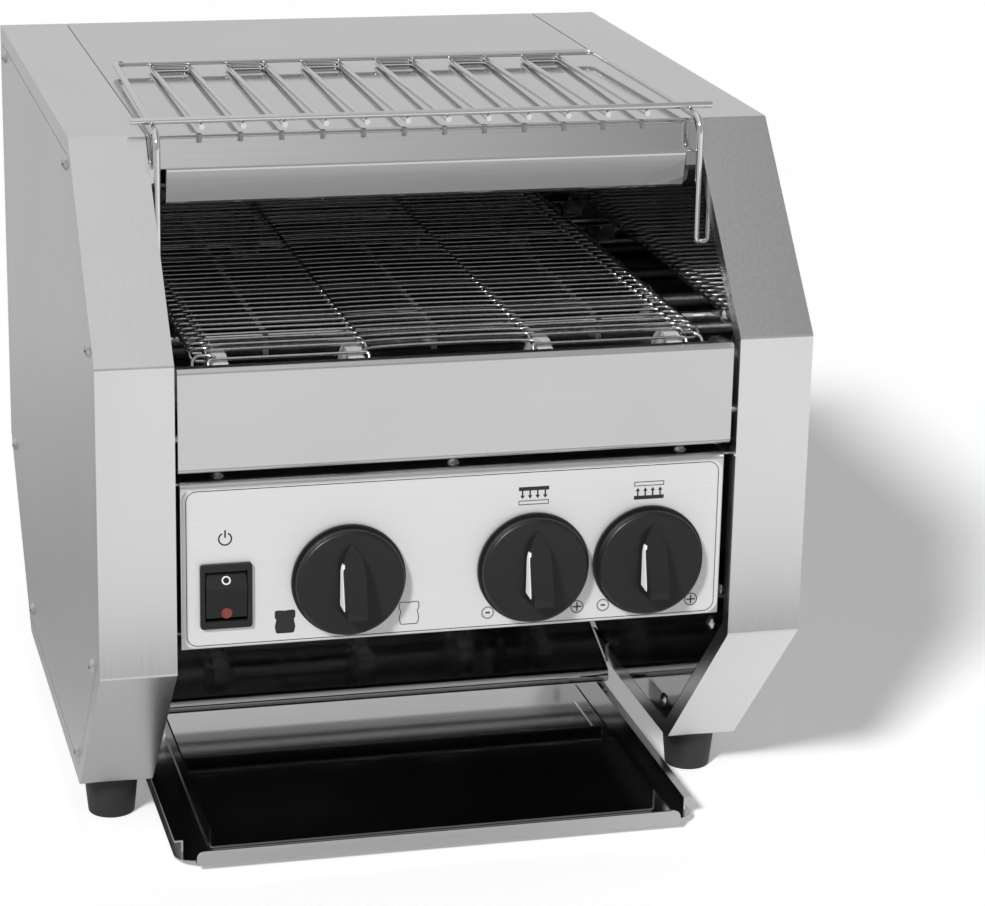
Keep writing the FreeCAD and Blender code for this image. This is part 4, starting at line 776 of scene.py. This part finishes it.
def fade(tree, value, start, stop, low, high):
    """The output of a smooth change from low to high as a value goes from start to stop."""
    node = tree.nodes.new("ShaderNodeMapRange")
    node.interpolation_type = "SMOOTHSTEP"
    for name, number in (("From Min", start), ("From Max", stop), ("To Min", low), ("To Max", high)):
        node.inputs[name].default_value = number
    tree.links.new(value, node.inputs["Value"])
    return node.outputs["Result"]


def blend(tree, share, first, second):
    """The output of a mix of two values by a share."""
    difference = sum_of(tree, "SUBTRACT", second, first)
    return sum_of(tree, "ADD", first, sum_of(tree, "MULTIPLY", share, difference))


def seen_rays(tree):
    """Whether a ray comes from the camera, and whether from a shiny or clear surface."""
    rays = tree.nodes.new("ShaderNodeLightPath")
    mirrored = sum_of(tree, "MAXIMUM", rays.outputs["Is Glossy Ray"], rays.outputs["Is Transmission Ray"])
    return rays.outputs["Is Camera Ray"], mirrored


def axes_of(tree, output):
    place = tree.nodes.new("ShaderNodeTexCoord")
    split = tree.nodes.new("ShaderNodeSeparateXYZ")
    link(tree, place, output, split, "Vector")
    return split.outputs


def steps(tree, value, stops):
    """The output of a value led through (place, level) stops, straight from each to the next."""
    first, last = stops[0][0], stops[-1][0]
    span = tree.nodes.new("ShaderNodeMapRange")
    span.inputs["From Min"].default_value = first
    span.inputs["From Max"].default_value = last
    tree.links.new(value, span.inputs["Value"])
    ramp = tree.nodes.new("ShaderNodeValToRGB")
    elements = ramp.color_ramp.elements
    for i, (place, level) in enumerate(stops):
        share = (place - first) / (last - first)
        element = elements[i] if i < 2 else elements.new(share)
        element.position = share
        element.color = (level, level, level, 1.0)
    link(tree, span, "Result", ramp, "Fac")
    return ramp.outputs["Color"]


def paper_material(glow):
    """White paper that keeps its shadow. Steel sees it with painted light and painted shade in zones round
    the toaster.
    """
    material = bpy.data.materials.new("floor_paper")
    material.use_nodes = True
    tree = material.node_tree
    tree.nodes.clear()
    camera, mirrored = seen_rays(tree)
    x, y, _ = axes_of(tree, "Object")
    # Painted light and painted shade on the paper, which only glossy and clear rays see.
    beside, left, right = (steps(tree, y, levels) for levels in (BESIDE_PAINTED_REFLECTION_LEVELS, LEFT_PAINTED_REFLECTION_LEVELS, RIGHT_PAINTED_REFLECTION_LEVELS))
    front = blend(tree, fade(tree, x, 0.0, 0.22, 0.0, 1.0), left, right)
    painted_reflection_level = blend(tree, fade(tree, x, -0.22, -0.18, 0.0, 1.0), beside, front)
    level = blend(tree, mirrored, blend(tree, camera, PAPER_LEVEL, 1.0), painted_reflection_level)
    tone = tree.nodes.new("ShaderNodeCombineColor")
    for socket in tone.inputs[:3]:
        tree.links.new(level, socket)
    paper = tree.nodes.new("ShaderNodeBsdfDiffuse")
    link(tree, tone, "Color", paper, "Color")
    shine = tree.nodes.new("ShaderNodeEmission")
    shown = sum_of(tree, "MULTIPLY", sum_of(tree, "MAXIMUM", camera, mirrored), level)
    tree.links.new(sum_of(tree, "MULTIPLY", shown, glow), shine.inputs["Strength"])
    both = tree.nodes.new("ShaderNodeAddShader")
    tree.links.new(paper.outputs[0], both.inputs[0])
    tree.links.new(shine.outputs[0], both.inputs[1])
    output = tree.nodes.new("ShaderNodeOutputMaterial")
    link(tree, both, "Shader", output, "Surface")
    return material


def studio_world(sky):
    """Even light for the surfaces, white for the camera, and soft walls for steel to mirror."""
    world = bpy.data.worlds.new("studio")
    world.use_nodes = True
    tree = world.node_tree
    tree.nodes.clear()
    camera, mirrored = seen_rays(tree)
    x, y, z = axes_of(tree, "Generated")
    wall = fade(tree, y, -0.4, 0.5, FRONT_WALL_LEVEL, BACK_WALL_LEVEL)
    above = fade(tree, x, 0.08, 0.44, ABOVE_LEFT_LEVEL, ABOVE_RIGHT_LEVEL)
    walls = blend(tree, fade(tree, z, 0.40, 0.80, 0.0, 1.0), wall, above)
    strength = blend(tree, camera, blend(tree, mirrored, sky, walls), 1.0)
    light = tree.nodes.new("ShaderNodeBackground")
    light.inputs["Color"].default_value = (1, 1, 1, 1)
    tree.links.new(strength, light.inputs["Strength"])
    output = tree.nodes.new("ShaderNodeOutputWorld")
    link(tree, light, "Background", output, "Surface")
    return world


def add_key(strength):
    """The lamp from the left front, which throws the shadow back to the right."""
    lamp = bpy.data.lights.new("key", "SUN")
    lamp.energy = strength
    lamp.angle = math.radians(KEY_ANGLE)
    holder = bpy.data.objects.new("key", lamp)
    bpy.context.scene.collection.objects.link(holder)
    holder.rotation_mode = "QUATERNION"
    holder.rotation_quaternion = KEY_WAY.to_track_quat("-Z", "Y")


def add_floor(glow):
    bm = bmesh.new()
    bmesh.ops.create_grid(bm, x_segments=2, y_segments=2, size=FLOOR_SIZE)
    mesh = bpy.data.meshes.new("floor")
    bm.to_mesh(mesh)
    bm.free()
    floor = bpy.data.objects.new("floor", mesh)
    bpy.context.scene.collection.objects.link(floor)
    mesh.materials.append(paper_material(glow))


def camera_turn():
    """The camera's axes, from its yaw, pitch and roll."""
    yaw, pitch, roll = (math.radians(a) for a in (CAMERA_YAW, CAMERA_PITCH, CAMERA_ROLL))
    ahead = Vector((math.sin(yaw) * math.cos(pitch), math.cos(yaw) * math.cos(pitch), -math.sin(pitch)))
    right = Vector((math.cos(yaw), -math.sin(yaw), 0))
    down = ahead.cross(right)
    turned_right = right * math.cos(roll) + down * math.sin(roll)
    turned_down = down * math.cos(roll) - right * math.sin(roll)
    return Matrix((turned_right, -turned_down, -ahead)).transposed()


def add_camera():
    camera = bpy.data.cameras.new("camera")
    camera.lens = CAMERA_LENS
    camera.sensor_width = SENSOR_WIDTH
    eye = bpy.data.objects.new("camera", camera)
    bpy.context.scene.collection.objects.link(eye)
    eye.matrix_world = Matrix.Translation(at(*CAMERA_PLACE)) @ camera_turn().to_4x4()
    bpy.context.scene.camera = eye


class TOASTER_OT_stage(bpy.types.Operator):
    """Set up the floor, the light and the camera"""
    bl_idname = "toaster.stage"
    bl_label = "Stage"

    def execute(self, context):
        scene = context.scene
        stage = settings("stage")
        add_floor(stage.glow)
        scene.world = studio_world(stage.sky)
        add_key(stage.key)
        add_camera()
        scene.view_settings.view_transform = "Standard"
        return {"FINISHED"}


class TOASTER_PT_panel(bpy.types.Panel):
    """Shows the toaster's settings and the buttons for its steps"""
    bl_label = "Conveyor toaster"
    bl_idname = "TOASTER_PT_panel"
    bl_space_type = "VIEW_3D"
    bl_region_type = "UI"
    bl_category = "Toaster"

    def draw(self, context):
        layout = self.layout
        for name, group in SETTINGS.items():
            box = layout.box()
            for key in group.__annotations__:
                box.prop(getattr(context.scene, name), key)
        for operator in OPERATORS:
            layout.operator(operator.bl_idname)


OPERATORS = (
    TOASTER_OT_finishes,
    TOASTER_OT_belt,
    TOASTER_OT_rack,
    TOASTER_OT_facia_print,
    TOASTER_OT_switch_ring,
    TOASTER_OT_stage,
)


def register():
    for group in SETTINGS.values():
        bpy.utils.register_class(group)
    for operator in OPERATORS:
        bpy.utils.register_class(operator)
    bpy.utils.register_class(TOASTER_PT_panel)
    for name, group in SETTINGS.items():
        setattr(bpy.types.Scene, name, PointerProperty(type=group))


def unregister():
    for name in SETTINGS:
        delattr(bpy.types.Scene, name)
    bpy.utils.unregister_class(TOASTER_PT_panel)
    for operator in reversed(OPERATORS):
        bpy.utils.unregister_class(operator)
    for group in reversed(list(SETTINGS.values())):
        bpy.utils.unregister_class(group)


def main():
    register()
    bpy.ops.toaster.finishes()
    bpy.ops.toaster.belt()
    bpy.ops.toaster.rack()
    bpy.ops.toaster.facia_print()
    bpy.ops.toaster.switch_ring()
    bpy.ops.toaster.stage()


if __name__ == "__main__":
    main()
